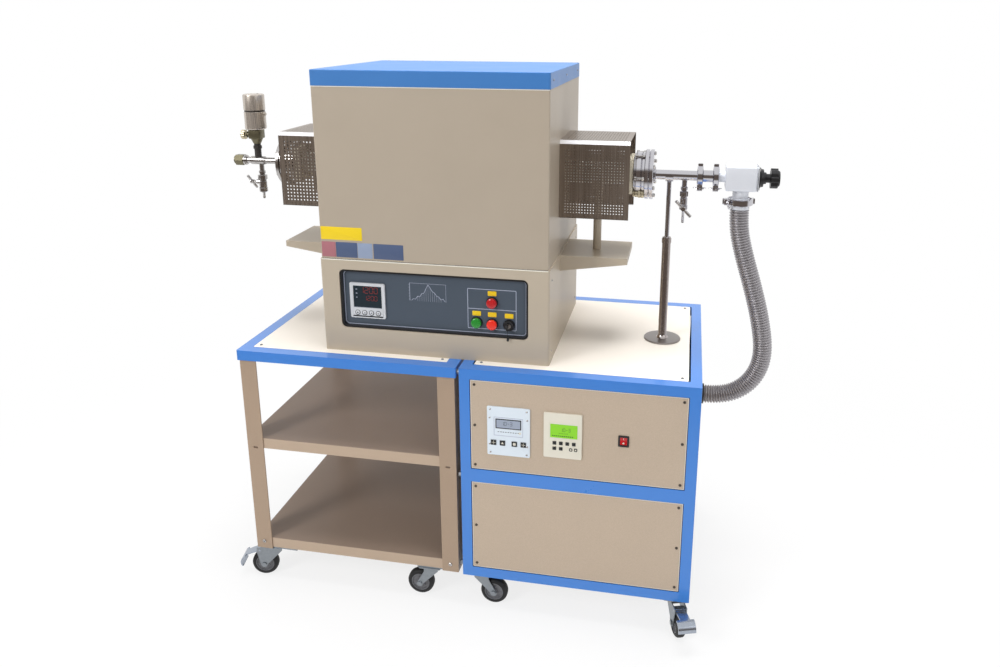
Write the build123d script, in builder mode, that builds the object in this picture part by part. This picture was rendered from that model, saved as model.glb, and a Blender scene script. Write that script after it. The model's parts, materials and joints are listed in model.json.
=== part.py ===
"""Tube furnace on its rolling stand: furnace, work tube, vacuum line and pump cabinet."""
from build123d import *
import math
import os

os.makedirs("parts", exist_ok=True)

# Driving dimensions, mm. X runs left to right, Y front to back, Z up from the floor.
# The origin is on the floor under the middle of the rigid pieces' overall box.

centre_y = 19.0
table_top = 706.0
table_depth = 620.0
table_front = centre_y - table_depth / 2
table_back = centre_y + table_depth / 2
frame_foot = 100.0

cart_left = -629.5
cart_width = 606.0
cart_right = cart_left + cart_width
stand_gap = 8.0
cabinet_left = cart_right + stand_gap
cabinet_width = 606.0
cabinet_right = cabinet_left + cabinet_width

rail_height = 28.0
rail_width = 32.0
tube_wall = 2.0
board_thickness = 12.0
leg_width = 46.0
leg_wall = 3.0
leg_inset = 5.0
foot_plate = 4.0
sheet = 1.5
shelf_lip = 31.0
upper_shelf_top = 448.0
lower_shelf_top = frame_foot + foot_plate + shelf_lip
middle_rail_low = 388.0
middle_rail_high = 425.0
panel_recess = 2.0
panel_gap = 1.5

furnace_x = -95.5
furnace_width = 600.0
furnace_depth = 500.0
furnace_left = furnace_x - furnace_width / 2
furnace_right = furnace_x + furnace_width / 2
furnace_front = centre_y - furnace_depth / 2
furnace_back = centre_y + furnace_depth / 2
base_height = 252.0
base_proud = 3.0
body_height = 442.0
lid_height = 39.0
base_top = table_top + base_height
body_top = base_top + body_height
lid_top = body_top + lid_height
steel = 2.0

recess_left = furnace_left + 47.0
recess_width = 502.0
recess_low = table_top + 66.0
recess_height = 160.0
recess_depth = 16.0
recess_corner = 14.0
bezel_lip = 8.0
panel_plate = 3.0

tube_z = table_top + 459.0
tube_radius = 30.0
tube_bore = 27.0
tube_left = furnace_x - 487.0
tube_length = 1000.0
tube_right = tube_left + tube_length
port_radius = 34.0

guard_depth = 200.0
guard_low = table_top + 354.0
guard_high = table_top + 556.0
guard_sheet = 1.2
guard_lip = 8.0
guard_chamfer = 9.0
right_guard_end = furnace_right + 180.0
left_guard_end = furnace_left - 175.0
bracket_top = table_top + 248.0
bracket_reach = 178.0
bracket_depth = 180.0
bracket_root = 42.0
bracket_tip = 16.0
post_radius = 11.0
post_offset = 88.0
saddle_length = 26.0
saddle_width = 44.0
saddle_height = 22.0
saddle_low = tube_z - tube_radius - 10.0

flange_radius = 66.0
flange_barrel = 58.5
flange_barrel_length = 29.0
flange_disc_length = 22.0
flange_bolts = 6
right_flange = tube_right - 27.0
left_flange = tube_left + 29.0

pipe_radius = 13.0
exhaust_start = right_flange + flange_barrel_length + flange_disc_length
exhaust_end = 561.5
clamp_two = 601.5
outlet_valve_x = 522.0
pole_x = 482.5
pole_foot_radius = 50.0
pole_tube_radius = 11.5
pole_tube_top = table_top + 291.0
rod_radius = 6.0

valve_left = 625.5
valve_size = 64.0
valve_length = 78.0
bonnet_length = 18.0
knob_radius = 26.0
knob_width = 23.0
knob_right = 761.5
hose_x = 666.5
hose_top = table_top + 376.0
hose_radius = 25.0
hose_port_z = 550.0

inlet_start = left_flange - flange_barrel_length - flange_disc_length
inlet_pipe_radius = 9.0
inlet_nut_left = -761.5
inlet_nut_length = 38.0
gauge_x = -689.5
gas_valve_x = -681.5

wheel_radius = 37.5
wheel_width = 25.0
wheel_trail = 33.0
axle_radius = 4.0
running_gap = 0.08
front_caster_y = table_front + 36.0
rear_caster_y = table_back - 36.0
fork_low = 86.0
fork_top = 91.7
toe_reach = 111.0
toe_start = 88.0
pedal_travel = 28.0


def save(part, name):
    part.label = name
    export_step(part, "parts/" + name + ".step")


# Stand: blue top frame, boards, legs and shelves of the open cart

with BuildPart() as cart_top_frame:
    with BuildSketch(Plane.XY.offset(table_top - rail_height)):
        with Locations(((cart_left + cart_right) / 2, centre_y)):
            Rectangle(cart_width, table_depth)
            Rectangle(cart_width - 2 * rail_width, table_depth - 2 * rail_width, mode=Mode.SUBTRACT)
    extrude(amount=rail_height)
    with BuildSketch(Plane.XY.offset(table_top - rail_height + tube_wall)):
        with Locations(((cart_left + cart_right) / 2, centre_y)):
            Rectangle(cart_width - 2 * tube_wall, table_depth - 2 * tube_wall)
            Rectangle(
                cart_width - 2 * rail_width + 2 * tube_wall,
                table_depth - 2 * rail_width + 2 * tube_wall,
                mode=Mode.SUBTRACT,
            )
    extrude(amount=rail_height - 2 * tube_wall, mode=Mode.SUBTRACT)
    outer_corners = cart_top_frame.edges().filter_by(Axis.Z).filter_by(lambda e: e.length > rail_height - 1)
    fillet(outer_corners.sort_by(lambda e: abs(e.center().Y - centre_y))[-4:], radius=3)
save(cart_top_frame.part, "cart_top_frame")

board_width = cart_width - 2 * rail_width - 1
board_depth = table_depth - 2 * rail_width - 1
with BuildPart() as table_boards:
    with BuildSketch(Plane.XY.offset(table_top - board_thickness)):
        with Locations(
            ((cart_left + cart_right) / 2, centre_y),
            ((cabinet_left + cabinet_right) / 2, centre_y),
        ):
            RectangleRounded(board_width, board_depth, 4)
    extrude(amount=board_thickness)
save(table_boards.part, "table_boards")

leg_height = table_top - rail_height - frame_foot
with BuildPart() as cart_legs:
    for side_x, toward_x in ((cart_left + leg_inset, 1), (cart_right - leg_inset, -1)):
        for side_y, toward_y in ((table_front + leg_inset, 1), (table_back - leg_inset, -1)):
            with BuildSketch(Plane.XY.offset(frame_foot)):
                with BuildLine():
                    Polyline(
                        (side_x, side_y),
                        (side_x + toward_x * leg_width, side_y),
                        (side_x + toward_x * leg_width, side_y + toward_y * leg_wall),
                        (side_x + toward_x * leg_wall, side_y + toward_y * leg_wall),
                        (side_x + toward_x * leg_wall, side_y + toward_y * leg_width),
                        (side_x, side_y + toward_y * leg_width),
                        close=True,
                    )
                make_face()
            extrude(amount=leg_height)
    with BuildSketch(Plane.XZ.offset(-(table_front + leg_inset - 1))):
        slot_x = leg_inset + leg_width / 2
        with Locations(
            (cart_left + slot_x, upper_shelf_top - shelf_lip + 2),
            (cart_right - slot_x, upper_shelf_top - shelf_lip + 2),
        ):
            SlotOverall(14, 6)
    extrude(amount=-(table_depth), mode=Mode.SUBTRACT)
save(cart_legs.part, "cart_legs")

shelf_width = cart_width - 2 * (leg_inset + leg_wall) - 0.6
shelf_depth = table_depth - 2 * (leg_inset + leg_wall) - 0.6
with BuildPart() as cart_shelves:
    for shelf_top in (upper_shelf_top, lower_shelf_top):
        with BuildSketch(Plane.XY.offset(shelf_top - shelf_lip)):
            with Locations(((cart_left + cart_right) / 2, centre_y)):
                Rectangle(shelf_width, shelf_depth)
        extrude(amount=shelf_lip)
        with BuildSketch(Plane.XY.offset(shelf_top - shelf_lip)):
            with Locations(((cart_left + cart_right) / 2, centre_y)):
                Rectangle(shelf_width - 2 * sheet, shelf_depth - 2 * sheet)
        extrude(amount=shelf_lip - sheet, mode=Mode.SUBTRACT)
    fillet(cart_shelves.edges().filter_by(Axis.X).group_by(Axis.Z)[-1], radius=1.2)
save(cart_shelves.part, "cart_shelves")

# Pump cabinet: blue frame, sheet panels

cabinet_mid = (cabinet_left + cabinet_right) / 2


def frame_members(wall, mode):
    """Posts and rails of the cabinet, drawn solid, or as the bore left inside their walls."""
    half_width = cabinet_width / 2 - rail_height / 2
    half_depth = table_depth / 2 - rail_width / 2
    post_height = table_top - frame_foot
    with Locations((cabinet_mid, centre_y, frame_foot + post_height / 2)):
        with GridLocations(2 * half_width, 2 * half_depth, 2, 2):
            Box(rail_height - 2 * wall, rail_width - 2 * wall, post_height - 2 * wall, mode=mode)
    for low, high in (
        (frame_foot, frame_foot + rail_height),
        (middle_rail_low, middle_rail_high),
        (table_top - rail_height, table_top),
    ):
        with Locations((cabinet_mid, centre_y, (low + high) / 2)):
            with GridLocations(0, 2 * half_depth, 1, 2):
                Box(2 * half_width, rail_width - 2 * wall, high - low - 2 * wall, mode=mode)
            if low != middle_rail_low:
                with GridLocations(2 * half_width, 0, 2, 1):
                    Box(rail_height - 2 * wall, 2 * half_depth, high - low - 2 * wall, mode=mode)


with BuildPart() as cabinet_frame:
    frame_members(0, Mode.ADD)
    fillet(
        cabinet_frame.edges().filter_by(Axis.Z).sort_by(
            lambda e: abs(e.center().X - cabinet_mid) + abs(e.center().Y - centre_y)
        )[-4:],
        radius=2,
    )
    frame_members(tube_wall, Mode.SUBTRACT)
save(cabinet_frame.part, "cabinet_frame")

panel_face = table_front + panel_recess
opening_width = cabinet_width - 2 * rail_height
side_depth = table_depth - 2 * rail_width
windows = (
    (frame_foot + rail_height, middle_rail_low),
    (middle_rail_high, table_top - rail_height),
)
vacuum_gauge_x = 114.0
vacuum_gauge_z = 542.0
control_gauge_x = 254.0
control_gauge_z = 545.0
rocker_x = 407.0
rocker_z = 545.0
with BuildPart() as cabinet_panels:
    for low, high in windows:
        with BuildSketch(Plane.XZ.offset(-panel_face)):
            with Locations((cabinet_mid, (low + high) / 2)):
                RectangleRounded(opening_width - 2 * panel_gap, high - low - 2 * panel_gap, 2)
            if low > middle_rail_low:
                with Locations((vacuum_gauge_x, vacuum_gauge_z)):
                    Rectangle(96, 112, mode=Mode.SUBTRACT)
                with Locations((control_gauge_x, control_gauge_z)):
                    Rectangle(84, 108, mode=Mode.SUBTRACT)
                with Locations((rocker_x, rocker_z)):
                    Rectangle(22.4, 25.4, mode=Mode.SUBTRACT)
        extrude(amount=-sheet)
        with BuildSketch(Plane.XZ.offset(-(panel_face + sheet))):
            with Locations((cabinet_mid, (low + high) / 2)):
                Rectangle(opening_width - 2 * panel_gap, high - low - 2 * panel_gap)
                Rectangle(opening_width - 2 * panel_gap - 3, high - low - 2 * panel_gap - 3, mode=Mode.SUBTRACT)
        extrude(amount=-14)
    panel_low = frame_foot + rail_height + panel_gap
    panel_high = table_top - rail_height - panel_gap
    for side_x, inward in ((cabinet_left + panel_recess, 1), (cabinet_right - panel_recess, -1)):
        with BuildSketch(Plane.YZ.offset(side_x)):
            with Locations((centre_y, (panel_low + panel_high) / 2)):
                Rectangle(side_depth - 2 * panel_gap, panel_high - panel_low)
            if inward < 0:
                with Locations((centre_y, hose_port_z)):
                    Circle(24, mode=Mode.SUBTRACT)
        extrude(amount=inward * sheet)
    with BuildSketch(Plane.XZ.offset(-(table_back - panel_recess))):
        with Locations((cabinet_mid, (panel_low + middle_rail_low - panel_gap) / 2)):
            Rectangle(opening_width - 2 * panel_gap, middle_rail_low - panel_gap - panel_low)
            with GridLocations(0, 16, 1, 8):
                SlotOverall(220, 6, mode=Mode.SUBTRACT)
        with Locations((cabinet_mid, (middle_rail_high + panel_gap + panel_high) / 2)):
            Rectangle(opening_width - 2 * panel_gap, panel_high - middle_rail_high - panel_gap)
    extrude(amount=sheet)
    with BuildSketch(Plane.XY.offset(frame_foot + rail_height)):
        with Locations((cabinet_mid, centre_y)):
            Rectangle(cabinet_width - 2 * rail_height - 1, table_depth - 2 * rail_width - 1)
    extrude(amount=-tube_wall)
save(cabinet_panels.part, "cabinet_panels")

with BuildPart() as coupling_bolts:
    for bolt_z in (table_top - rail_height / 2, 398.0, 130.0):
        with BuildSketch(Plane.YZ.offset(cart_right)):
            with Locations((table_front + 14, bolt_z), (table_back - 14, bolt_z)):
                RegularPolygon(7, 6)
        extrude(amount=stand_gap)
save(coupling_bolts.part, "coupling_bolts")

# Casters: plates with kingpins, swivelling forks, wheels and brake pedals

cart_casters_x = (cart_left + 45.0, cart_right - 90.0)
cabinet_casters_x = (cabinet_left + 47.0, cabinet_right - 36.0)
caster_places = (
    ("front_left", cart_casters_x[0], front_caster_y, 12.0, True),
    ("front_mid_left", cart_casters_x[1], front_caster_y, 0.0, False),
    ("front_mid_right", cabinet_casters_x[0], front_caster_y, 180.0, False),
    ("front_right", cabinet_casters_x[1], front_caster_y - 3.0, 108.0, True),
    ("rear_left", cart_casters_x[0], rear_caster_y, 35.0, False),
    ("rear_mid_left", cart_casters_x[1], rear_caster_y, -48.0, False),
    ("rear_mid_right", cabinet_casters_x[0], rear_caster_y, -90.0, False),
    ("rear_right", cabinet_casters_x[1], rear_caster_y, 20.0, False),
)
plate_thickness = 3.0
race_radius = 21.0
kingpin_radius = 4.0

with BuildPart() as caster_plates:
    for name, x, y, heading, braked in caster_places:
        with BuildSketch(Plane.XY.offset(frame_foot - plate_thickness)):
            with Locations((x, y)):
                RectangleRounded(62, 62, 5)
                with GridLocations(44, 44, 2, 2):
                    Circle(3.2, mode=Mode.SUBTRACT)
        extrude(amount=plate_thickness)
        with BuildSketch(Plane.XY.offset(frame_foot - plate_thickness)):
            with Locations((x, y)):
                Circle(race_radius)
        extrude(amount=-(frame_foot - plate_thickness - fork_top - 0.4), taper=12)
        with BuildSketch(Plane.XY.offset(fork_top + 0.4)):
            with Locations((x, y)):
                Circle(kingpin_radius)
        extrude(amount=-(fork_top + 0.4 - fork_low + 1))
        with BuildSketch(Plane.XY.offset(fork_low - 0.4)):
            with Locations((x, y)):
                Circle(7)
        extrude(amount=-3)
    for side_x, toward_x in ((cart_left + leg_inset, 1), (cart_right - leg_inset, -1)):
        for side_y, toward_y in ((table_front + leg_inset, 1), (table_back - leg_inset, -1)):
            with BuildSketch(Plane.XY.offset(frame_foot)):
                with Locations((side_x + toward_x * (leg_wall + 58.5), side_y + toward_y * (leg_wall + 36.5))):
                    Rectangle(116, 72)
            extrude(amount=foot_plate)
save(caster_plates.part, "caster_plates")

cheek = 2.5
cheek_gap = 29.0
hub_width = 28.0
pedal_pivot_x = -44.0
pedal_pivot_z = 83.0
pedal_pin_radius = 3.0


def caster_plane(x, y, heading):
    return Plane(origin=(x, y, 0), x_dir=(math.cos(math.radians(heading)), math.sin(math.radians(heading)), 0))


def fork_part(x, y, heading, braked):
    """Pressed fork in its own plane, trailing towards local -X, then laid on the caster's place."""
    ear = -52.0 if braked else -20.0
    with BuildPart() as fork:
        with BuildSketch(Plane.XZ):
            with BuildLine():
                Polyline(
                    (20, fork_top),
                    (ear, fork_top),
                    (ear, fork_top - 14),
                    (-wheel_trail - 10, wheel_radius - 2),
                    (-wheel_trail - 5, wheel_radius - 9),
                    (-wheel_trail + 5, wheel_radius - 9),
                    (-wheel_trail + 11, wheel_radius + 2),
                    (20, fork_top - 10),
                    close=True,
                )
            make_face()
        extrude(amount=cheek_gap / 2 + cheek, both=True)
        with Locations((-20, 0, fork_low / 2)):
            Box(140, cheek_gap, fork_low, mode=Mode.SUBTRACT)
        if braked:
            with Locations((ear, 0, fork_top - 4)):
                Box(60, cheek_gap, 16, mode=Mode.SUBTRACT)
            with BuildSketch(Plane.XZ):
                with Locations((pedal_pivot_x, pedal_pivot_z)):
                    Circle(pedal_pin_radius + running_gap)
            extrude(amount=cheek_gap, both=True, mode=Mode.SUBTRACT)
        with BuildSketch(Plane.XY.offset(fork_low)):
            Circle(22)
        extrude(amount=fork_top - fork_low)
        with BuildSketch(Plane.XY.offset(fork_low)):
            Circle(kingpin_radius + running_gap)
        extrude(amount=fork_top - fork_low, mode=Mode.SUBTRACT)
        with BuildSketch(Plane.XZ):
            with Locations((-wheel_trail, wheel_radius)):
                Circle(axle_radius)
        extrude(amount=cheek_gap / 2 + cheek, both=True)
        for outward in (-1, 1):
            with BuildSketch(Plane.XZ.offset(outward * (cheek_gap / 2 + cheek))):
                with Locations((-wheel_trail, wheel_radius)):
                    RegularPolygon(7, 6)
            extrude(amount=outward * 3)
    return caster_plane(x, y, heading).location * fork.part


def wheel_part(x, y, heading):
    """Wheel on its axle, with tyre, recessed web and hub turned in one profile."""
    half = wheel_width / 2
    with BuildPart() as wheel:
        with BuildSketch(Plane.XY):
            with BuildLine():
                Polyline(
                    (axle_radius + running_gap, -hub_width / 2),
                    (10, -hub_width / 2),
                    (10, -half + 5),
                    (24, -half + 5),
                    (26, -half),
                    (wheel_radius - 5, -half),
                    (wheel_radius, -half + 6),
                    (wheel_radius, half - 6),
                    (wheel_radius - 5, half),
                    (26, half),
                    (24, half - 5),
                    (10, half - 5),
                    (10, hub_width / 2),
                    (axle_radius + running_gap, hub_width / 2),
                    close=True,
                )
            make_face()
        revolve(axis=Axis.Y)
    placed = Location((-wheel_trail, 0, wheel_radius)) * wheel.part
    return caster_plane(x, y, heading).location * placed


def pedal_part(x, y, heading, pressed):
    """Brake pedal: a plate hinged between the cheeks, with a wide toe that curls down past the tyre."""
    with BuildPart() as pedal:
        with BuildSketch(Plane.XZ):
            with BuildLine():
                Polyline((-toe_start, 85.5), (-72, 84.5), (-54, 81), (-30, 81), (-30, 85), (-54, 86), (-72, 88.5), (-toe_start, 89.5))
                ThreePointArc((-toe_start, 89.5), (-104.5, 83.5), (-toe_reach, 66))
                Line((-toe_reach, 66), (4 - toe_reach, 65))
                ThreePointArc((4 - toe_reach, 65), (-101.5, 81), (-toe_start, 85.5))
            make_face()
        extrude(amount=13, both=True)
        with BuildSketch(Plane.XZ):
            with BuildLine():
                Line((-toe_start, 85.5), (-toe_start, 89.5))
                ThreePointArc((-toe_start, 89.5), (-104.5, 83.5), (-toe_reach, 66))
                Line((-toe_reach, 66), (4 - toe_reach, 65))
                ThreePointArc((4 - toe_reach, 65), (-101.5, 81), (-toe_start, 85.5))
            make_face()
        extrude(amount=23, both=True)
        with BuildSketch(Plane.XZ):
            with Locations((pedal_pivot_x, pedal_pivot_z)):
                Circle(pedal_pin_radius)
        extrude(amount=cheek_gap / 2 + cheek, both=True)
    pivot = Axis((pedal_pivot_x, 0, pedal_pivot_z), (0, -1, 0))
    return caster_plane(x, y, heading).location * pedal.part.rotate(pivot, pressed)


for name, x, y, heading, braked in caster_places:
    save(fork_part(x, y, heading, braked), "caster_fork_" + name)
    save(wheel_part(x, y, heading), "caster_wheel_" + name)
    if braked:
        save(pedal_part(x, y, heading, pedal_travel if name == "front_left" else 0), "brake_pedal_" + name)

# Furnace base: control box with a recessed panel

base_width = furnace_width + 2 * base_proud
base_depth = furnace_depth + 2 * base_proud
base_front = furnace_front - base_proud
recess_mid_x = recess_left + recess_width / 2
recess_mid_z = recess_low + recess_height / 2
seat_y = base_front + recess_depth
with BuildPart() as furnace_base:
    with Locations((furnace_x, centre_y, table_top + base_height / 2)):
        Box(base_width, base_depth, base_height)
        fillet(furnace_base.edges().filter_by(Axis.Z), radius=6)
        Box(base_width - 2 * steel, base_depth - 2 * steel, base_height - 2 * steel, mode=Mode.SUBTRACT)
    with BuildSketch(Plane.XZ.offset(-base_front)):
        with Locations((recess_mid_x, recess_mid_z)):
            RectangleRounded(recess_width + 2 * steel, recess_height + 2 * steel, recess_corner + steel)
    extrude(amount=-(recess_depth + steel))
    with BuildSketch(Plane.XZ.offset(-base_front)):
        with Locations((recess_mid_x, recess_mid_z)):
            RectangleRounded(recess_width, recess_height, recess_corner)
    extrude(amount=-recess_depth, mode=Mode.SUBTRACT)
    with BuildSketch(Plane.XZ.offset(-seat_y)):
        with Locations((recess_mid_x, recess_mid_z)):
            RectangleRounded(recess_width - 2 * bezel_lip, recess_height - 2 * bezel_lip, recess_corner / 2)
    extrude(amount=-steel, mode=Mode.SUBTRACT)
    with BuildSketch(Plane.XY.offset(table_top)):
        with Locations((furnace_x, centre_y)):
            with GridLocations(34, 190, 9, 2):
                SlotOverall(110, 8, rotation=90)
    extrude(amount=steel, mode=Mode.SUBTRACT)
    with BuildSketch(Plane.XY.offset(base_top)):
        with Locations((furnace_x, centre_y)):
            with GridLocations(36, 0, 9, 1):
                SlotOverall(200, 12, rotation=90)
    extrude(amount=-steel, mode=Mode.SUBTRACT)
save(furnace_base.part, "furnace_base")

controller_x = furnace_left + 119.0
controller_z = table_top + 141.0
controller_size = 96.0
button_radius = 13.5
button_rise = 5.0
button_depth = 8.0
button_bezel = 15.0
button_places = {
    "stop_button": (furnace_left + 453.0, table_top + 157.0),
    "start_button": (furnace_left + 412.0, table_top + 101.0),
    "heat_button": (furnace_left + 453.0, table_top + 99.0),
}
key_x = furnace_left + 497.0
key_z = table_top + 99.0
button_hole = 9.0
with BuildPart() as control_panel:
    with BuildSketch(Plane.XZ.offset(-seat_y)):
        with Locations((recess_mid_x, recess_mid_z)):
            RectangleRounded(recess_width - 2, recess_height - 2, recess_corner - 1)
        with Locations((controller_x, controller_z)):
            Rectangle(91, 91, mode=Mode.SUBTRACT)
        with Locations(*button_places.values(), (key_x, key_z)):
            Circle(button_hole, mode=Mode.SUBTRACT)
    extrude(amount=panel_plate)
    with BuildSketch(Plane.XZ.offset(-(seat_y - panel_plate))):
        with Locations(*button_places.values(), (key_x, key_z)):
            Circle(button_bezel)
            Circle(button_hole, mode=Mode.SUBTRACT)
    extrude(amount=1.5)
save(control_panel.part, "control_panel")
panel_front = seat_y - panel_plate

with BuildPart() as temperature_controller:
    with BuildSketch(Plane.XZ.offset(-panel_front)):
        with Locations((controller_x, controller_z)):
            RectangleRounded(controller_size, controller_size, 4)
    extrude(amount=5)
    chamfer(temperature_controller.faces().sort_by(Axis.Y)[0].edges(), length=1.5)
    with BuildSketch(Plane.XZ.offset(-(panel_front - 5))):
        with Locations((controller_x, controller_z + 10)):
            Rectangle(78, 60)
    extrude(amount=-2, mode=Mode.SUBTRACT)
    with BuildSketch(Plane.XZ.offset(-(panel_front - 5))):
        with Locations((controller_x, controller_z - 33)):
            with GridLocations(19, 0, 4, 1):
                Circle(5.5)
    extrude(amount=1.2)
    with BuildSketch(Plane.XZ.offset(-panel_front)):
        with Locations((controller_x, controller_z)):
            Rectangle(90, 90)
    extrude(amount=-70)
save(temperature_controller.part, "temperature_controller")

# Furnace body, lid, insulation, elements and thermocouple

with BuildPart() as furnace_body:
    with Locations((furnace_x, centre_y, base_top + body_height / 2)):
        Box(furnace_width, furnace_depth, body_height)
        fillet(furnace_body.edges().filter_by(Axis.Z), radius=4)
        Box(furnace_width - 2 * steel, furnace_depth - 2 * steel, body_height, mode=Mode.SUBTRACT)
    with Locations((furnace_x, centre_y, base_top + steel / 2)):
        Box(furnace_width - 2, furnace_depth - 2, steel)
        Box(furnace_width - 60, furnace_depth - 60, steel, mode=Mode.SUBTRACT)
    with BuildSketch(Plane.YZ.offset(furnace_left - 1)):
        with Locations((centre_y, tube_z)):
            Circle(port_radius)
    extrude(amount=furnace_width + 2, mode=Mode.SUBTRACT)
    with BuildSketch(Plane.XZ.offset(-furnace_back)):
        for group_x in (furnace_x - 150, furnace_x + 150):
            with Locations((group_x, base_top + 70), (group_x, body_top - 80)):
                with GridLocations(0, 14, 1, 5):
                    SlotOverall(120, 5)
    extrude(amount=steel, mode=Mode.SUBTRACT)
save(furnace_body.part, "furnace_body")

with BuildPart() as furnace_lid:
    with Locations((furnace_x, centre_y, body_top + lid_height / 2)):
        Box(furnace_width + 2, furnace_depth + 2, lid_height)
    fillet(furnace_lid.edges().filter_by(Axis.Z), radius=5)
    fillet(furnace_lid.faces().sort_by(Axis.Z)[-1].edges(), radius=2)
    with Locations((furnace_x, centre_y, body_top + lid_height / 2 - steel)):
        Box(furnace_width - 2 * steel, furnace_depth - 2 * steel, lid_height, mode=Mode.SUBTRACT)
save(furnace_lid.part, "furnace_lid")

chamber_length = 480.0
chamber_depth = 380.0
chamber_low = tube_z - 165.0
chamber_high = tube_z + 190.0
hot_length = 310.0
hot_depth = 170.0
hot_high = tube_z + 95.0
hot_low = tube_z - 90.0
collar_radius = 48.0
thermocouple_x = furnace_x + 48.0
with BuildPart() as ceramic_insulation:
    for low, high in ((chamber_low, tube_z - 0.2), (tube_z + 0.2, chamber_high)):
        with Locations((furnace_x, centre_y, (low + high) / 2)):
            Box(chamber_length, chamber_depth, high - low)
    with Locations((furnace_x, centre_y, (hot_low + hot_high) / 2)):
        Box(hot_length, hot_depth, hot_high - hot_low, mode=Mode.SUBTRACT)
    with BuildSketch(Plane.YZ.offset(furnace_x - chamber_length / 2)):
        with Locations((centre_y, tube_z)):
            Circle(tube_radius + 1)
    extrude(amount=chamber_length, mode=Mode.SUBTRACT)
    for row_y in (centre_y - 58, centre_y + 58):
        with BuildSketch(Plane.XY.offset(chamber_high)):
            with Locations((furnace_x, row_y)):
                Rectangle(hot_length - 20, 20)
        extrude(amount=-(chamber_high - hot_high), mode=Mode.SUBTRACT)
    for near, far in (
        (furnace_left + steel, furnace_x - chamber_length / 2),
        (furnace_x + chamber_length / 2, furnace_right - steel),
        (right_flange - 12, right_flange - 1),
        (left_flange + 1, left_flange + 12),
    ):
        with BuildSketch(Plane.YZ.offset(near)):
            with Locations((centre_y, tube_z)):
                RectangleRounded(2 * collar_radius, 2 * collar_radius, 10)
                Circle(tube_radius + 1, mode=Mode.SUBTRACT)
        extrude(amount=far - near)
    with BuildSketch(Plane.XY.offset(chamber_high)):
        with Locations((thermocouple_x, centre_y)):
            Circle(4.4)
    extrude(amount=-(chamber_high - hot_high), mode=Mode.SUBTRACT)
save(ceramic_insulation.part, "ceramic_insulation")

element_pitch = 50.0
with BuildPart() as heating_elements:
    for row_y in (centre_y - 58, centre_y + 58):
        for number in (-1, 0, 1):
            element_x = furnace_x + number * 96
            with BuildSketch(Plane.XY.offset(hot_high)):
                with Locations((element_x - element_pitch / 2, row_y), (element_x + element_pitch / 2, row_y)):
                    Circle(6)
            extrude(amount=chamber_high - hot_high + 12)
            with BuildLine():
                bend = element_pitch / 2
                leg_low = tube_z - 40
                Line((element_x - bend, row_y, hot_high), (element_x - bend, row_y, leg_low))
                ThreePointArc(
                    (element_x - bend, row_y, leg_low),
                    (element_x, row_y, leg_low - bend),
                    (element_x + bend, row_y, leg_low),
                )
                Line((element_x + bend, row_y, leg_low), (element_x + bend, row_y, hot_high))
            with BuildSketch(Plane(origin=(element_x - bend, row_y, hot_high), z_dir=(0, 0, -1))):
                Circle(3)
            sweep()
save(heating_elements.part, "heating_elements")

with BuildPart() as thermocouple:
    with BuildSketch(Plane.XY.offset(hot_high - 40)):
        with Locations((thermocouple_x, centre_y)):
            Circle(4)
    extrude(amount=chamber_high - hot_high + 40 + 6)
    with BuildSketch(Plane.XY.offset(chamber_high + 6)):
        with Locations((thermocouple_x, centre_y)):
            Circle(12)
    extrude(amount=16)
save(thermocouple.part, "thermocouple")

# Work tube, flanges, guards and their brackets

with BuildPart() as work_tube:
    with BuildSketch(Plane.YZ.offset(tube_left)):
        with Locations((centre_y, tube_z)):
            Circle(tube_radius)
            Circle(tube_bore, mode=Mode.SUBTRACT)
    extrude(amount=tube_length)
save(work_tube.part, "work_tube")


def guard_outline(inset, low):
    """Guard section seen along the tube: a square hood with its upper front edge bevelled."""
    front = centre_y - guard_depth / 2 + inset
    back = centre_y + guard_depth / 2 - inset
    high = guard_high - inset
    bevel = guard_chamfer - 0.6 * inset
    with BuildSketch() as outline:
        with BuildLine():
            Polyline((front, low), (back, low), (back, high), (front + bevel, high), (front, high - bevel), close=True)
        make_face()
    return outline.sketch


with BuildPart() as tube_guards:
    for inner, outer in ((furnace_right, right_guard_end), (furnace_left, left_guard_end)):
        with BuildSketch(Plane.YZ.offset(inner)):
            add(guard_outline(0, guard_low))
        extrude(amount=outer - inner)
        with BuildSketch(Plane.YZ.offset(inner)):
            add(guard_outline(guard_sheet, guard_low - 1))
        extrude(amount=outer - inner, mode=Mode.SUBTRACT)
        with BuildSketch(Plane.YZ.offset(inner)):
            with Locations((centre_y, guard_low + guard_sheet / 2)):
                with GridLocations(guard_depth - guard_lip, 0, 2, 1):
                    Rectangle(guard_lip, guard_sheet)
        extrude(amount=outer - inner)
save(tube_guards.part, "tube_guards")

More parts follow.
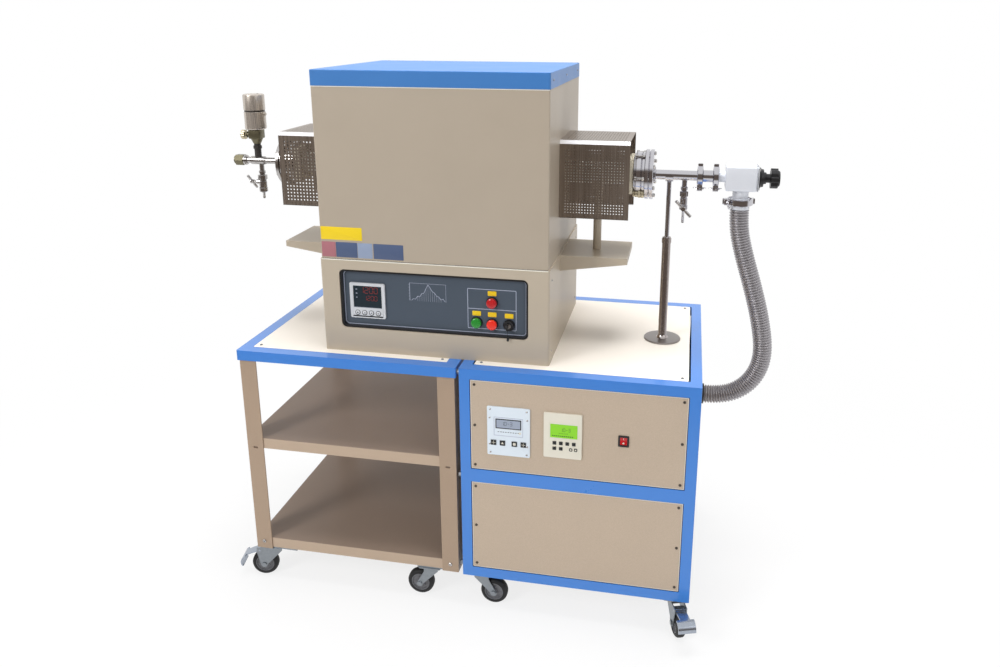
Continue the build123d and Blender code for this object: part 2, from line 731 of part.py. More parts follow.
bracket_wall = 3.0
with BuildPart() as side_brackets:
    for wall_x, outward in ((furnace_right + base_proud, 1), (furnace_left - base_proud, -1)):
        with BuildSketch(Plane.XZ.offset(-centre_y)):
            with BuildLine():
                Polyline(
                    (wall_x, bracket_top),
                    (wall_x + outward * bracket_reach, bracket_top),
                    (wall_x + outward * bracket_reach, bracket_top - bracket_tip),
                    (wall_x, bracket_top - bracket_root),
                    close=True,
                )
            make_face()
        extrude(amount=bracket_depth / 2, both=True)
        with BuildSketch(Plane.XZ.offset(-centre_y)):
            with BuildLine():
                Polyline(
                    (wall_x + outward * bracket_wall, bracket_top - bracket_wall),
                    (wall_x + outward * (bracket_reach - bracket_wall), bracket_top - bracket_wall),
                    (wall_x + outward * (bracket_reach - bracket_wall), bracket_top - 2 * bracket_root),
                    (wall_x + outward * bracket_wall, bracket_top - 2 * bracket_root),
                    close=True,
                )
            make_face()
        extrude(amount=bracket_depth / 2 - bracket_wall, both=True, mode=Mode.SUBTRACT)
        post_x = wall_x + outward * post_offset
        with BuildSketch(Plane.XY.offset(bracket_top)):
            with Locations((post_x, centre_y)):
                Circle(post_radius)
        extrude(amount=saddle_low - bracket_top)
        with Locations((post_x, centre_y, saddle_low + saddle_height / 2)):
            Box(saddle_length, saddle_width, saddle_height)
        with BuildSketch(Plane.YZ.offset(post_x - saddle_length / 2)):
            with Locations((centre_y, tube_z)):
                Circle(tube_radius)
        extrude(amount=saddle_length, mode=Mode.SUBTRACT)
save(side_brackets.part, "side_brackets")


def across(x):
    """Plane across the tube's axis at x."""
    return Plane(origin=(x, centre_y, tube_z), x_dir=(0, 1, 0), z_dir=(1, 0, 0))


def turned(start, direction, steps):
    """Round stepped body on the tube's axis, from (length, radius) steps beginning at start."""
    corners = [(start, tube_z)]
    along = start
    for length, radius in steps:
        corners.append((along, tube_z + radius))
        along += direction * length
        corners.append((along, tube_z + radius))
    corners.append((along, tube_z))
    with BuildPart() as body:
        with BuildSketch(Plane.XZ.offset(-centre_y)):
            with BuildLine():
                Polyline(*corners, close=True)
            make_face()
        revolve(axis=Axis((0, centre_y, tube_z), (1, 0, 0)))
    return body.part


def upright(x, y, steps):
    """Round stepped body on a vertical axis, from (z, radius) corners."""
    corners = [(x, steps[0][0])] + [(x + radius, z) for z, radius in steps] + [(x, steps[-1][0])]
    with BuildPart() as body:
        with BuildSketch(Plane.XZ.offset(-y)):
            with BuildLine():
                Polyline(*corners, close=True)
            make_face()
        revolve(axis=Axis((x, y, 0), (0, 0, 1)))
    return body.part


side_port_reach = 60.0
side_port_angle = math.radians(50)
flange_steps = (
    (8, flange_barrel - 6),
    (12, flange_barrel),
    (4, flange_barrel - 5),
    (5, flange_barrel),
    (10, flange_radius),
    (2, flange_radius - 6),
    (10, flange_radius),
)
with BuildPart() as tube_flanges:
    add(turned(right_flange, 1, flange_steps))
    add(turned(left_flange, -1, flange_steps))
    for barrel_x in (right_flange, left_flange - flange_barrel_length):
        with BuildSketch(across(barrel_x)):
            Circle(tube_radius + 0.3)
        extrude(amount=flange_barrel_length, mode=Mode.SUBTRACT)
    for face_x, outward in ((exhaust_start, 1), (inlet_start, -1)):
        with BuildSketch(across(face_x)):
            with PolarLocations(flange_radius - 9, flange_bolts, start_angle=30):
                Circle(5)
        extrude(amount=outward * 5)
        with BuildSketch(across(face_x - outward * flange_disc_length)):
            with PolarLocations(flange_radius - 3.5, flange_bolts, start_angle=0):
                RegularPolygon(5, 6)
        extrude(amount=outward * flange_disc_length)
    for start, length, radius in ((right_flange, 14, 9), (right_flange + 13, flange_barrel_length - 13, 11)):
        with BuildSketch(across(start)):
            with Locations((-side_port_reach * math.cos(side_port_angle), -side_port_reach * math.sin(side_port_angle))):
                Circle(radius)
        extrude(amount=length)
save(tube_flanges.part, "tube_flanges")

# Gas inlet at the left: pipe, end nut, cross, needle valve, isolation valve and gauge head

gauge_valve_low = table_top + 508.0
gauge_valve_high = table_top + 549.0
gauge_head_high = table_top + 648.0
gas_valve_low = table_top + 368.0
gas_valve_high = table_top + 421.0
barb_radius = 3.5
barb_length = 20.0
handle_z = table_top + 396.0
with BuildPart() as inlet_manifold:
    add(turned(inlet_start, -1, ((inlet_start - inlet_nut_left - inlet_nut_length + 6, inlet_pipe_radius),)))
    with BuildSketch(across(inlet_nut_left)):
        RegularPolygon(17, 6)
    extrude(amount=inlet_nut_length - 9)
    add(turned(inlet_nut_left + inlet_nut_length - 9, 1, ((9, 14.5),)))
    add(turned(inlet_start, -1, ((8, 14), (7, 11.5))))
    add(turned(gauge_x - 22, 1, ((44, 12),)))
    add(upright(gauge_x, centre_y, ((tube_z, 9.5), (gauge_valve_low, 9.5))))
    add(
        upright(
            gas_valve_x,
            centre_y,
            (
                (tube_z, 7),
                (gas_valve_high + 8, 7),
                (gas_valve_high + 8, 9.5),
                (gas_valve_high, 9.5),
                (gas_valve_high, 12),
                (gas_valve_high - 14, 12),
                (gas_valve_high - 18, 10),
                (gas_valve_low + 16, 10),
                (gas_valve_low + 12, 12),
                (gas_valve_low, 8),
                (gas_valve_low, barb_radius),
                (gas_valve_low - barb_length, barb_radius),
            ),
        )
    )
    with BuildSketch(Plane(origin=(gas_valve_x, centre_y, handle_z), x_dir=(0, 1, 0), z_dir=(-1, 0, 0))):
        Circle(7)
    extrude(amount=19)
save(inlet_manifold.part, "inlet_manifold")

gauge_valve_size = 50.0
gauge_valve_mid = (gauge_valve_low + gauge_valve_high) / 2
with BuildPart() as gauge_valve:
    with BuildSketch(Plane.XY.offset(gauge_valve_low + 14)):
        with Locations((gauge_x, centre_y)):
            RectangleRounded(gauge_valve_size, 34, 5)
    extrude(amount=gauge_valve_high - gauge_valve_low - 14)
    add(upright(gauge_x, centre_y, ((gauge_valve_low, 11), (gauge_valve_low + 14, 17))))
    with BuildSketch(Plane(origin=(gauge_x, centre_y, gauge_valve_mid + 4), x_dir=(0, 1, 0), z_dir=(-1, 0, 0))):
        Circle(9)
    extrude(amount=gauge_valve_size / 2 + 4)
save(gauge_valve.part, "gauge_valve")

gauge_radius = 33.5
with BuildPart() as gauge_head:
    add(
        upright(
            gauge_x,
            centre_y,
            (
                (gauge_valve_high, gauge_radius - 2),
                (gauge_valve_high + 2, gauge_radius),
                (table_top + 600, gauge_radius),
                (table_top + 600, gauge_radius - 1.5),
                (table_top + 605, gauge_radius - 1.5),
                (table_top + 605, gauge_radius),
                (gauge_head_high - 4, gauge_radius),
                (gauge_head_high, gauge_radius - 4),
            ),
        )
    )
    with BuildSketch(Plane(origin=(gauge_x, centre_y, table_top + 592), x_dir=(0, 1, 0), z_dir=(1, 0, 0))):
        Circle(4)
    extrude(amount=gauge_radius + 4)
save(gauge_head.part, "gauge_head")

# Exhaust at the right: pipe, outlet valve, clamps, angle valve and its support pole

with BuildPart() as exhaust_pipe:
    add(
        turned(
            exhaust_start,
            1,
            (
                (5, 19),
                (exhaust_end - exhaust_start - 5 - 7, pipe_radius),
                (3, 17),
                (4, 20),
            ),
        )
    )
    add(
        turned(
            exhaust_end + 0.1,
            1,
            (
                (4, 20),
                (3, 17),
                (clamp_two - exhaust_end - 14.2, 15.5),
                (3, 17),
                (4, 20),
            ),
        )
    )
    add(
        upright(
            outlet_valve_x,
            centre_y,
            (
                (tube_z, 7),
                (gas_valve_high + 8, 7),
                (gas_valve_high + 8, 9.5),
                (gas_valve_high - 4, 9.5),
                (gas_valve_high - 4, 11),
                (gas_valve_high - 18, 11),
                (gas_valve_high - 22, 9),
                (gas_valve_low, 9),
                (gas_valve_low - 6, 11),
                (gas_valve_low - 16, 7),
                (gas_valve_low - 16, barb_radius),
                (gas_valve_low - 16 - barb_length, barb_radius),
            ),
        )
    )
    outlet_handle_z = table_top + 376.0
    with BuildSketch(Plane.XZ.offset(-centre_y)):
        with Locations((outlet_valve_x, outlet_handle_z)):
            Circle(6.5)
    extrude(amount=17)
save(exhaust_pipe.part, "exhaust_pipe")

clamp_bore = 20.4
clamp_radius = 28.0
clamp_width = 15.0


def wing_clamp(plane, bore, radius, width):
    """Hinged clamp ring: band, hinge lug, bolt ears and wing nut, drawn across its axis."""
    with BuildPart() as clamp:
        with BuildSketch(plane.offset(-width / 2)):
            Circle(radius)
            with Locations((0, -radius - 3)):
                Rectangle(16, 14)
            with Locations((0, radius + 1)):
                Rectangle(13, 8)
            Circle(bore, mode=Mode.SUBTRACT)
            with Locations((0, -radius - 1)):
                Rectangle(4, 20, mode=Mode.SUBTRACT)
        extrude(amount=width)
        pin = Plane(origin=plane.from_local_coords((0, -radius - 4, 0)), z_dir=plane.x_dir)
        with BuildSketch(pin):
            Circle(2.5)
        extrude(amount=22, both=True)
        wing = Plane(origin=plane.from_local_coords((15, -radius - 4, 0)), x_dir=plane.z_dir, z_dir=plane.x_dir)
        with BuildSketch(wing):
            SlotOverall(26, 5)
        extrude(amount=4)
    return clamp.part


with BuildPart() as clamp_rings:
    add(wing_clamp(across(exhaust_end), clamp_bore, clamp_radius, clamp_width))
    add(wing_clamp(across(clamp_two), clamp_bore, clamp_radius, clamp_width))
    hose_collar = Plane(origin=(hose_x, centre_y, hose_top + 20), x_dir=(0, 1, 0), z_dir=(0, 0, -1))
    add(wing_clamp(hose_collar, 28.4, 36, 17))
save(clamp_rings.part, "clamp_rings")

valve_right = valve_left + valve_length
valve_low = tube_z - valve_size / 2
with BuildPart() as angle_valve:
    with BuildSketch(across(valve_left)):
        RectangleRounded(valve_size, valve_size, 7)
    extrude(amount=valve_length)
    fillet(angle_valve.faces().sort_by(Axis.X)[0].edges(), radius=2.5)
    add(turned(clamp_two + 0.1, 1, ((4, 20), (3, 17), (valve_left - clamp_two - 7.1, 14))))
    with BuildSketch(across(valve_right)):
        RectangleRounded(valve_size - 2, valve_size - 2, 7)
    extrude(amount=5)
    add(turned(valve_right + 5, 1, ((5, 27), (bonnet_length - 10, 24))))
    add(turned(valve_right + bonnet_length, 1, ((6, 15),)))
    add(
        upright(
            hose_x,
            centre_y,
            (
                (tube_z, 20.5),
                (hose_top + 26, 20.5),
                (hose_top + 24, 25),
                (hose_top + 20, 28),
                (hose_top + 16, 28),
                (hose_top + 12, 25),
                (hose_top, 25),
            ),
        )
    )
save(angle_valve.part, "angle_valve")

cradle_width = 20.0
with BuildPart() as support_pole:
    add(
        upright(
            pole_x,
            centre_y,
            (
                (table_top, pole_foot_radius),
                (table_top + 3, pole_foot_radius),
                (table_top + 4.5, pole_foot_radius - 3),
                (table_top + 4.5, pole_tube_radius + 3),
                (table_top + 12, pole_tube_radius),
                (pole_tube_top, pole_tube_radius),
            ),
        )
    )
    with BuildSketch(Plane.XY.offset(table_top + 40)):
        with Locations((pole_x, centre_y)):
            Circle(rod_radius + running_gap)
    extrude(amount=pole_tube_top - table_top - 40, mode=Mode.SUBTRACT)
save(support_pole.part, "support_pole")

rod_foot = table_top + 178.0
cradle_inner = pipe_radius + 0.6
with BuildPart() as support_rod:
    with BuildSketch(Plane.XY.offset(rod_foot)):
        with Locations((pole_x, centre_y)):
            Circle(rod_radius)
    extrude(amount=tube_z - cradle_inner - 3 - rod_foot)
    with BuildSketch(across(pole_x - cradle_width / 2)):
        Circle(cradle_inner + 4)
        with Locations((0, 15)):
            Rectangle(60, 30, mode=Mode.SUBTRACT)
        Circle(cradle_inner, mode=Mode.SUBTRACT)
    extrude(amount=cradle_width)
save(support_rod.part, "support_rod")

# Vacuum hose: straight runs joined by tangent arcs, from the valve down to the cabinet's port

port_face = cabinet_right + 14.0
hose_route = (
    (666.5, centre_y, 1082),
    (666.5, centre_y, 1034),
    (684, centre_y, 964),
    (713, centre_y, 876),
    (741, centre_y, 780),
    (757, centre_y, 686),
    (743, centre_y, 621),
    (706, centre_y, 574),
    (652, centre_y, 550),
    (604.5, centre_y, 550),
)


def route_radii(points):
    """Largest arc at each inner corner: 0.45 of the shorter run over the tangent of half the turn."""
    radii = []
    for before, corner, after in zip(points, points[1:], points[2:]):
        run_in = Vector(*corner) - Vector(*before)
        run_out = Vector(*after) - Vector(*corner)
        half_turn = math.radians(run_in.get_angle(run_out)) / 2
        radii.append(0.45 * min(run_in.length, run_out.length) / math.tan(half_turn))
    return radii


hose_radii = route_radii(hose_route)
print("hose bend radii, mm:", [round(radius) for radius in hose_radii])
with BuildPart() as vacuum_hose:
    with BuildLine():
        hose_path = FilletPolyline(*hose_route, radius=hose_radii)
    with BuildSketch(Plane(origin=hose_path @ 0, z_dir=hose_path % 0)):
        Circle(hose_radius)
    sweep()
expected_volume = math.pi * hose_radius**2 * hose_path.length
print("hose length, mm:", round(hose_path.length), "volume ratio:", round(vacuum_hose.part.volume / expected_volume, 4))
save(vacuum_hose.part, "vacuum_hose")

pump_mid_x = cabinet_mid + 60
pump_low = frame_foot + rail_height
with BuildPart() as hose_port:
    with BuildSketch(Plane.YZ.offset(cabinet_right - panel_recess)):
        with Locations((centre_y, hose_port_z)):
            Circle(36)
    extrude(amount=6)
    with BuildSketch(Plane.YZ.offset(cabinet_right - panel_recess + 6)):
        with Locations((centre_y, hose_port_z)):
            Circle(28)
    extrude(amount=port_face - cabinet_right + panel_recess - 6)
    with BuildSketch(Plane.YZ.offset(cabinet_right - panel_recess)):
        with Locations((centre_y, hose_port_z)):
            Circle(20)
    extrude(amount=-(cabinet_right - panel_recess - pump_mid_x - 20))
    with BuildSketch(Plane.XZ.offset(-centre_y)):
        with Locations((pump_mid_x + 20, hose_port_z - 10)):
            Rectangle(40, 60)
    extrude(amount=20, both=True)
save(hose_port.part, "hose_port")

# Working parts inside the cabinet and the control box

pump_shaft_z = pump_low + 125
with BuildPart() as vacuum_pump:
    with BuildSketch(Plane.XY.offset(pump_low)):
        for foot_x in (pump_mid_x - 150, pump_mid_x + 60):
            with Locations((foot_x, centre_y)):
                Rectangle(40, 190)
    extrude(amount=14)
    with Locations((pump_mid_x - 45, centre_y, pump_low + 22)):
        Box(300, 170, 16)
    with Locations((pump_mid_x + 45, centre_y, pump_low + 115)):
        Box(130, 170, 170)
    fillet(vacuum_pump.edges().filter_by(Axis.X).group_by(Axis.Z)[-1], radius=12)
    with BuildSketch(Plane.YZ.offset(pump_mid_x - 20)):
        with Locations((centre_y, pump_shaft_z)):
            Circle(68)
    extrude(amount=-30)
    with BuildSketch(Plane.YZ.offset(pump_mid_x - 50)):
        with Locations((centre_y, pump_shaft_z)):
            Circle(76)
            with PolarLocations(76, 24):
                Rectangle(6, 5, mode=Mode.SUBTRACT)
    extrude(amount=-130)
    with BuildSketch(Plane.YZ.offset(pump_mid_x - 180)):
        with Locations((centre_y, pump_shaft_z)):
            Circle(70)
    extrude(amount=-28)
    with BuildSketch(Plane.XY.offset(pump_low + 200)):
        with Locations((pump_mid_x + 20, centre_y)):
            Circle(22)
    extrude(amount=hose_port_z - 40 - pump_low - 200)
save(vacuum_pump.part, "vacuum_pump")

with BuildPart() as power_transformer:
    core_x = furnace_x + 60
    with BuildSketch(Plane.XZ.offset(-centre_y)):
        with Locations((core_x, table_top + steel + 85)):
            Rectangle(170, 150)
            with Locations((-34, 0), (34, 0)):
                Rectangle(34, 86, mode=Mode.SUBTRACT)
    extrude(amount=35, both=True)
    with BuildSketch(Plane.XY.offset(table_top + steel + 45)):
        with Locations((core_x, centre_y)):
            Rectangle(96, 124)
            Rectangle(34.6, 70.6, mode=Mode.SUBTRACT)
    extrude(amount=80)
    with BuildSketch(Plane.XY.offset(table_top + steel)):
        with Locations((core_x - 65, centre_y), (core_x + 65, centre_y)):
            Rectangle(28, 100)
    extrude(amount=10)
save(power_transformer.part, "power_transformer")

# Instruments on the cabinet's front


def instrument(x, z, width, height, depth, body_width, body_height, window, window_rise):
    """Panel instrument: front plate with a sunk window, and its body behind the cut-out."""
    with BuildPart() as unit:
        with BuildSketch(Plane.XZ.offset(-panel_face)):
            with Locations((x, z)):
                RectangleRounded(width, height, 3)
        extrude(amount=depth)
        with BuildSketch(Plane.XZ.offset(-(panel_face - depth))):
            with Locations((x, z + window_rise)):
                Rectangle(*window)
        extrude(amount=-1.5, mode=Mode.SUBTRACT)
        with BuildSketch(Plane.XZ.offset(-panel_face)):
            with Locations((x, z)):
                Rectangle(body_width, body_height)
        extrude(amount=-60)
    return unit.part


with BuildPart() as panel_instruments:
    add(instrument(vacuum_gauge_x, vacuum_gauge_z, 111, 135, 4, 94, 110, (66, 26), 22))
    add(instrument(control_gauge_x, control_gauge_z, 97, 123, 5, 82, 106, (68, 36), 14))
    with BuildSketch(Plane.XZ.offset(-(panel_face - 4))):
        for key_number in (-1.5, -0.6, 0.6, 1.5):
            with Locations((vacuum_gauge_x + key_number * 26, vacuum_gauge_z - 32)):
                Rectangle(13, 13)
    extrude(amount=0.8)
    with BuildSketch(Plane.XZ.offset(-(panel_face - 5))):
        with Locations((control_gauge_x, control_gauge_z - 20)):
            with GridLocations(16, 0, 4, 1):
                Rectangle(9, 9)
        with Locations((control_gauge_x - 16, control_gauge_z - 34)):
            with GridLocations(16, 0, 2, 1):
                Rectangle(9, 9)
        with Locations((control_gauge_x + 20, control_gauge_z - 34)):
            with GridLocations(12, 0, 2, 1):
                Rectangle(8, 8)
    extrude(amount=0.8)
    with BuildSketch(Plane.XZ.offset(-panel_face)):
        with Locations((rocker_x, rocker_z)):
            RectangleRounded(27, 30, 2)
            Rectangle(18, 24, mode=Mode.SUBTRACT)
    extrude(amount=2)
    with BuildSketch(Plane.XZ.offset(-panel_face)):
        with Locations((rocker_x, rocker_z)):
            Rectangle(22, 25)
            Rectangle(18, 24, mode=Mode.SUBTRACT)
    extrude(amount=-18)
    with BuildSketch(Plane.XZ.offset(-(panel_face + 18))):
        with Locations((rocker_x, rocker_z)):
            Rectangle(22, 25)
    extrude(amount=-4)
save(panel_instruments.part, "panel_instruments")

# Moving controls

rocker_tilt = math.radians(12)
rocker_pivot_y = panel_face + 3
rocker_reach = 11.4
with BuildPart() as power_rocker:
    rocker_plane = Plane(
        origin=(rocker_x, rocker_pivot_y, rocker_z),
        x_dir=(0, math.cos(rocker_tilt), -math.sin(rocker_tilt)),
        z_dir=(1, 0, 0),
    )
    end_y = -rocker_reach * math.cos(math.radians(52))
    end_z = rocker_reach * math.sin(math.radians(52))
    with BuildSketch(rocker_plane):
        with BuildLine():
            Polyline((-5.5, 0), (end_y, end_z), (0, 9.4), (5, 6), (5, -6), (0, -9.4), (end_y, -end_z), close=True)
        make_face()
    extrude(amount=8.7, both=True)
    with BuildSketch(rocker_plane):
        Circle(1.5)
    extrude(amount=8.95, both=True)
save(power_rocker.part, "power_rocker")


def button_part(x, z, cap_radius, cap_depth):
    """Push button: domed cap in front of the panel and its stem through the panel."""
    with BuildPart() as button:
        with BuildSketch(Plane.XZ.offset(-(panel_front - button_rise))):
            with Locations((x, z)):
                Circle(cap_radius)
        extrude(amount=cap_depth)
        fillet(button.faces().sort_by(Axis.Y)[0].edges(), radius=2.5)
        with BuildSketch(Plane.XZ.offset(-(panel_front - button_rise))):
            with Locations((x, z)):
                Circle(button_hole - 0.5)
        extrude(amount=-(button_rise + panel_plate + 12))
    return button.part


for button_name, (button_x, button_z) in button_places.items():
    save(button_part(button_x, button_z, button_radius, button_depth), button_name)

with BuildPart() as key_switch:
    with BuildSketch(Plane.XZ.offset(-(panel_front - 2))):
        with Locations((key_x, key_z)):
            Circle(button_radius - 0.5)
    extrude(amount=8)
    chamfer(key_switch.faces().sort_by(Axis.Y)[0].edges(), length=1.5)
    with BuildSketch(Plane.XZ.offset(-(panel_front - 10))):
        with Locations((key_x, key_z - 2)):
            SlotOverall(20, 3, rotation=90)
    extrude(amount=14)
    with BuildSketch(Plane.XZ.offset(-(panel_front - 2))):
        with Locations((key_x, key_z)):
            Circle(button_hole - 0.5)
    extrude(amount=-(2 + panel_plate + 12))
save(key_switch.part, "key_switch")

with BuildPart() as valve_knob:
    with BuildSketch(across(knob_right - knob_width)):
        Circle(knob_radius)
        with PolarLocations(knob_radius + 3.5, 7):
            Circle(7, mode=Mode.SUBTRACT)
    extrude(amount=knob_width - 6)
    with BuildSketch(across(knob_right - 6)):
        Circle(knob_radius - 5)
    extrude(amount=6)
    stem_left = valve_right + bonnet_length + 6.4
    with BuildSketch(across(stem_left)):
        Circle(11.5)
    extrude(amount=knob_right - knob_width - stem_left)
save(valve_knob.part, "valve_knob")

handle_bar = 31.0
with BuildPart() as inlet_valve_handle:
    handle_x = gas_valve_x - 19.4
    with BuildSketch(Plane(origin=(handle_x, centre_y, handle_z), x_dir=(0, 1, 0), z_dir=(-1, 0, 0))):
        Circle(4)
    extrude(amount=14)
    bar_plane = Plane(
        origin=(handle_x - 14, centre_y, handle_z),
        x_dir=(1, 0, 0),
        z_dir=(0, math.cos(math.radians(-42)), math.sin(math.radians(-42))),
    )
    with BuildSketch(bar_plane):
        Circle(4)
    extrude(amount=handle_bar, both=True)
save(inlet_valve_handle.part, "inlet_valve_handle")

with BuildPart() as outlet_valve_handle:
    handle_y = centre_y - 17.4
    with BuildSketch(Plane.XZ.offset(-handle_y)):
        with Locations((outlet_valve_x, outlet_handle_z)):
            Circle(4)
    extrude(amount=14)
    bar_plane = Plane(
        origin=(outlet_valve_x, handle_y - 14, outlet_handle_z),
        x_dir=(0, 1, 0),
        z_dir=(math.cos(math.radians(-46)), 0, math.sin(math.radians(-46))),
    )
    with BuildSketch(bar_plane):
        Circle(4)
    extrude(amount=handle_bar - 2, both=True)
save(outlet_valve_handle.part, "outlet_valve_handle")

with BuildPart() as gauge_valve_knob:
    knob_left = gauge_x - gauge_valve_size / 2 - 4.4
    with BuildSketch(Plane(origin=(knob_left, centre_y, gauge_valve_mid + 4), x_dir=(0, 1, 0), z_dir=(-1, 0, 0))):
        Circle(4)
    extrude(amount=4)
    with BuildSketch(Plane(origin=(knob_left - 4, centre_y, gauge_valve_mid + 4), x_dir=(0, 1, 0), z_dir=(-1, 0, 0))):
        Circle(13.5)
        with PolarLocations(15.5, 8):
            Circle(3.5, mode=Mode.SUBTRACT)
    extrude(amount=10)
save(gauge_valve_knob.part, "gauge_valve_knob")
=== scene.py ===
import bpy
import bmesh
import json
import math
from mathutils import Matrix, Vector

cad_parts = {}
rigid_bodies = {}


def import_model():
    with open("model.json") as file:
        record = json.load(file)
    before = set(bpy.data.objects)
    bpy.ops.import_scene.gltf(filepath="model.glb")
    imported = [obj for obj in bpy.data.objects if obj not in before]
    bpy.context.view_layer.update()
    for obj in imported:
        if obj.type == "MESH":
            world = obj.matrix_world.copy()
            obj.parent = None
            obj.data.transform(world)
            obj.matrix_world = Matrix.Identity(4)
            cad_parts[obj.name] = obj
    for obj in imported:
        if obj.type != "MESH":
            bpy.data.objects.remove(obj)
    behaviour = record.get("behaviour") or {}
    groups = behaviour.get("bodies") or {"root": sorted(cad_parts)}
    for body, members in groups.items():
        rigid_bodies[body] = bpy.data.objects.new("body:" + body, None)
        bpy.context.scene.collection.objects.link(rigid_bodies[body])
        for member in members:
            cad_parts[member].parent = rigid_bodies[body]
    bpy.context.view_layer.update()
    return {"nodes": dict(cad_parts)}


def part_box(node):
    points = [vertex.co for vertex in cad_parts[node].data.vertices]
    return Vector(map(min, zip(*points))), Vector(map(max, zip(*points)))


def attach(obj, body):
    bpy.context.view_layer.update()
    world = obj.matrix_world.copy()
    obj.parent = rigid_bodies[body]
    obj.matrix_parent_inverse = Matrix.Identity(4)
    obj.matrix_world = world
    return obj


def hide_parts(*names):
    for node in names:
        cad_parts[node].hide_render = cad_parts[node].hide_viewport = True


for leftover in list(bpy.data.objects):
    bpy.data.objects.remove(leftover)
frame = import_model()
nodes = frame["nodes"]
frontRight, frontUp = Vector((1, 0, 0)), Vector((0, 0, 1))


# mesh helpers: every piece is drawn in place, so its object stays at the origin

def addObject(name, data):
    made = bpy.data.objects.new(name, data)
    bpy.context.scene.collection.objects.link(made)
    return made


def boxOf(node):
    low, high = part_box(node)
    return Vector(low), Vector(high)


def midOf(node):
    low, high = boxOf(node)
    return (low + high) / 2


def sideAxes(axis):
    axis = Vector(axis).normalized()
    helper = Vector((0, 0, 1)) if abs(axis.z) < 0.9 else Vector((1, 0, 0))
    across = axis.cross(helper).normalized()
    return axis, across, axis.cross(across).normalized()


def addTurned(bm, origin, axis, profile, segments=48, slot=0, phase=0.0):
    # profile: (distance along the axis, radius) pairs; a radius of 0 closes the end
    axis, across, up = sideAxes(axis)
    origin = Vector(origin)
    rings = []
    for along, radius in profile:
        centre = origin + axis * along
        if radius <= 0:
            rings.append([bm.verts.new(centre)])
            continue
        ring = []
        for k in range(segments):
            angle = phase + 2 * math.pi * k / segments
            ring.append(bm.verts.new(centre + radius * (math.cos(angle) * across + math.sin(angle) * up)))
        rings.append(ring)
    faces = []
    for near, far in zip(rings, rings[1:]):
        for k in range(segments):
            following = (k + 1) % segments
            if len(near) == 1 and len(far) == 1:
                continue
            if len(near) == 1:
                faces.append(bm.faces.new((near[0], far[following], far[k])))
            elif len(far) == 1:
                faces.append(bm.faces.new((near[k], near[following], far[0])))
            else:
                faces.append(bm.faces.new((near[k], near[following], far[following], far[k])))
    for face in faces:
        face.material_index = slot
    return faces


def addBox(bm, low, high, bevel=0.0, segments=2, slot=0):
    low, high = Vector(low), Vector(high)
    made = bmesh.ops.create_cube(bm, size=1.0)["verts"]
    size = high - low
    bmesh.ops.transform(
        bm, matrix=Matrix.Translation((low + high) / 2) @ Matrix.Diagonal((*size, 1)), verts=made,
    )
    faces = list(dict.fromkeys(face for vert in made for face in vert.link_faces))
    for face in faces:
        face.material_index = slot
    if bevel > 0:
        edges = list(dict.fromkeys(edge for vert in made for edge in vert.link_edges))
        bmesh.ops.bevel(bm, geom=edges, offset=bevel, segments=segments, profile=0.5, affect="EDGES")


def roundedOutline(width, height, radius, steps=5):
    points = []
    for cornerX, cornerY, start in ((1, 1, 0), (-1, 1, 90), (-1, -1, 180), (1, -1, 270)):
        for k in range(steps + 1):
            angle = math.radians(start + 90 * k / steps)
            x = cornerX * (width / 2 - radius) + radius * math.cos(angle)
            y = cornerY * (height / 2 - radius) + radius * math.sin(angle)
            points.append((x, y))
    return points


def ellipseOutline(radiusX, radiusY, count):
    angles = [2 * math.pi * k / count for k in range(count)]
    return [(radiusX * math.cos(angle), radiusY * math.sin(angle)) for angle in angles]


def lobedOutline(radius, depth, lobes, count):
    # a hand knob's edge: a circle with evenly spaced hollows
    points = []
    for k in range(count):
        angle = 2 * math.pi * k / count
        dip = max(0.0, math.cos(lobes * angle)) ** 2
        points.append(((radius - depth * dip) * math.cos(angle), (radius - depth * dip) * math.sin(angle)))
    return points


def addPrism(bm, outline, origin, right, up, depth, slot=0, bevel=0.0):
    # outline in the right/up plane, pushed out by depth towards right x up
    origin, right, up = Vector(origin), Vector(right).normalized(), Vector(up).normalized()
    outward = right.cross(up)
    back = [bm.verts.new(origin + x * right + y * up) for x, y in outline]
    front = [bm.verts.new(vert.co + outward * depth) for vert in back]
    faces = [bm.faces.new(front), bm.faces.new(list(reversed(back)))]
    count = len(outline)
    for k in range(count):
        following = (k + 1) % count
        faces.append(bm.faces.new((back[k], back[following], front[following], front[k])))
    for face in faces:
        face.material_index = slot
    if bevel > 0:
        bmesh.ops.bevel(
            bm, geom=list(faces[0].edges), offset=bevel, segments=2, profile=0.5, affect="EDGES",
        )


def addFrame(bm, width, height, line, corner, origin, depth, slot=0):
    # a raised or printed border line with rounded corners, facing the front
    origin, right, up = Vector(origin), frontRight, frontUp
    outward = right.cross(up)
    outer = roundedOutline(width, height, corner)
    inner = roundedOutline(width - 2 * line, height - 2 * line, max(corner - line, 0.0002))
    rings = []
    for outline, lift in ((outer, 0), (outer, depth), (inner, depth), (inner, 0)):
        rings.append([bm.verts.new(origin + x * right + y * up + lift * outward) for x, y in outline])
    count = len(outer)
    for near, far in zip(rings, rings[1:]):
        for k in range(count):
            following = (k + 1) % count
            bm.faces.new((near[k], near[following], far[following], far[k])).material_index = slot
    for k in range(count):
        following = (k + 1) % count
        bm.faces.new(
            (rings[3][k], rings[3][following], rings[0][following], rings[0][k])
        ).material_index = slot


def makePiece(name, bm, body, materials, standsFor=(), recalc=True, sharp=32):
    if recalc:
        bmesh.ops.recalc_face_normals(bm, faces=bm.faces)
    for face in bm.faces:
        face.smooth = True
    for edge in bm.edges:
        edge.smooth = len(edge.link_faces) == 2 and edge.calc_face_angle(0) < math.radians(sharp)
    mesh = bpy.data.meshes.new(name)
    bm.to_mesh(mesh)
    bm.free()
    return placePiece(name, mesh, body, materials, standsFor)


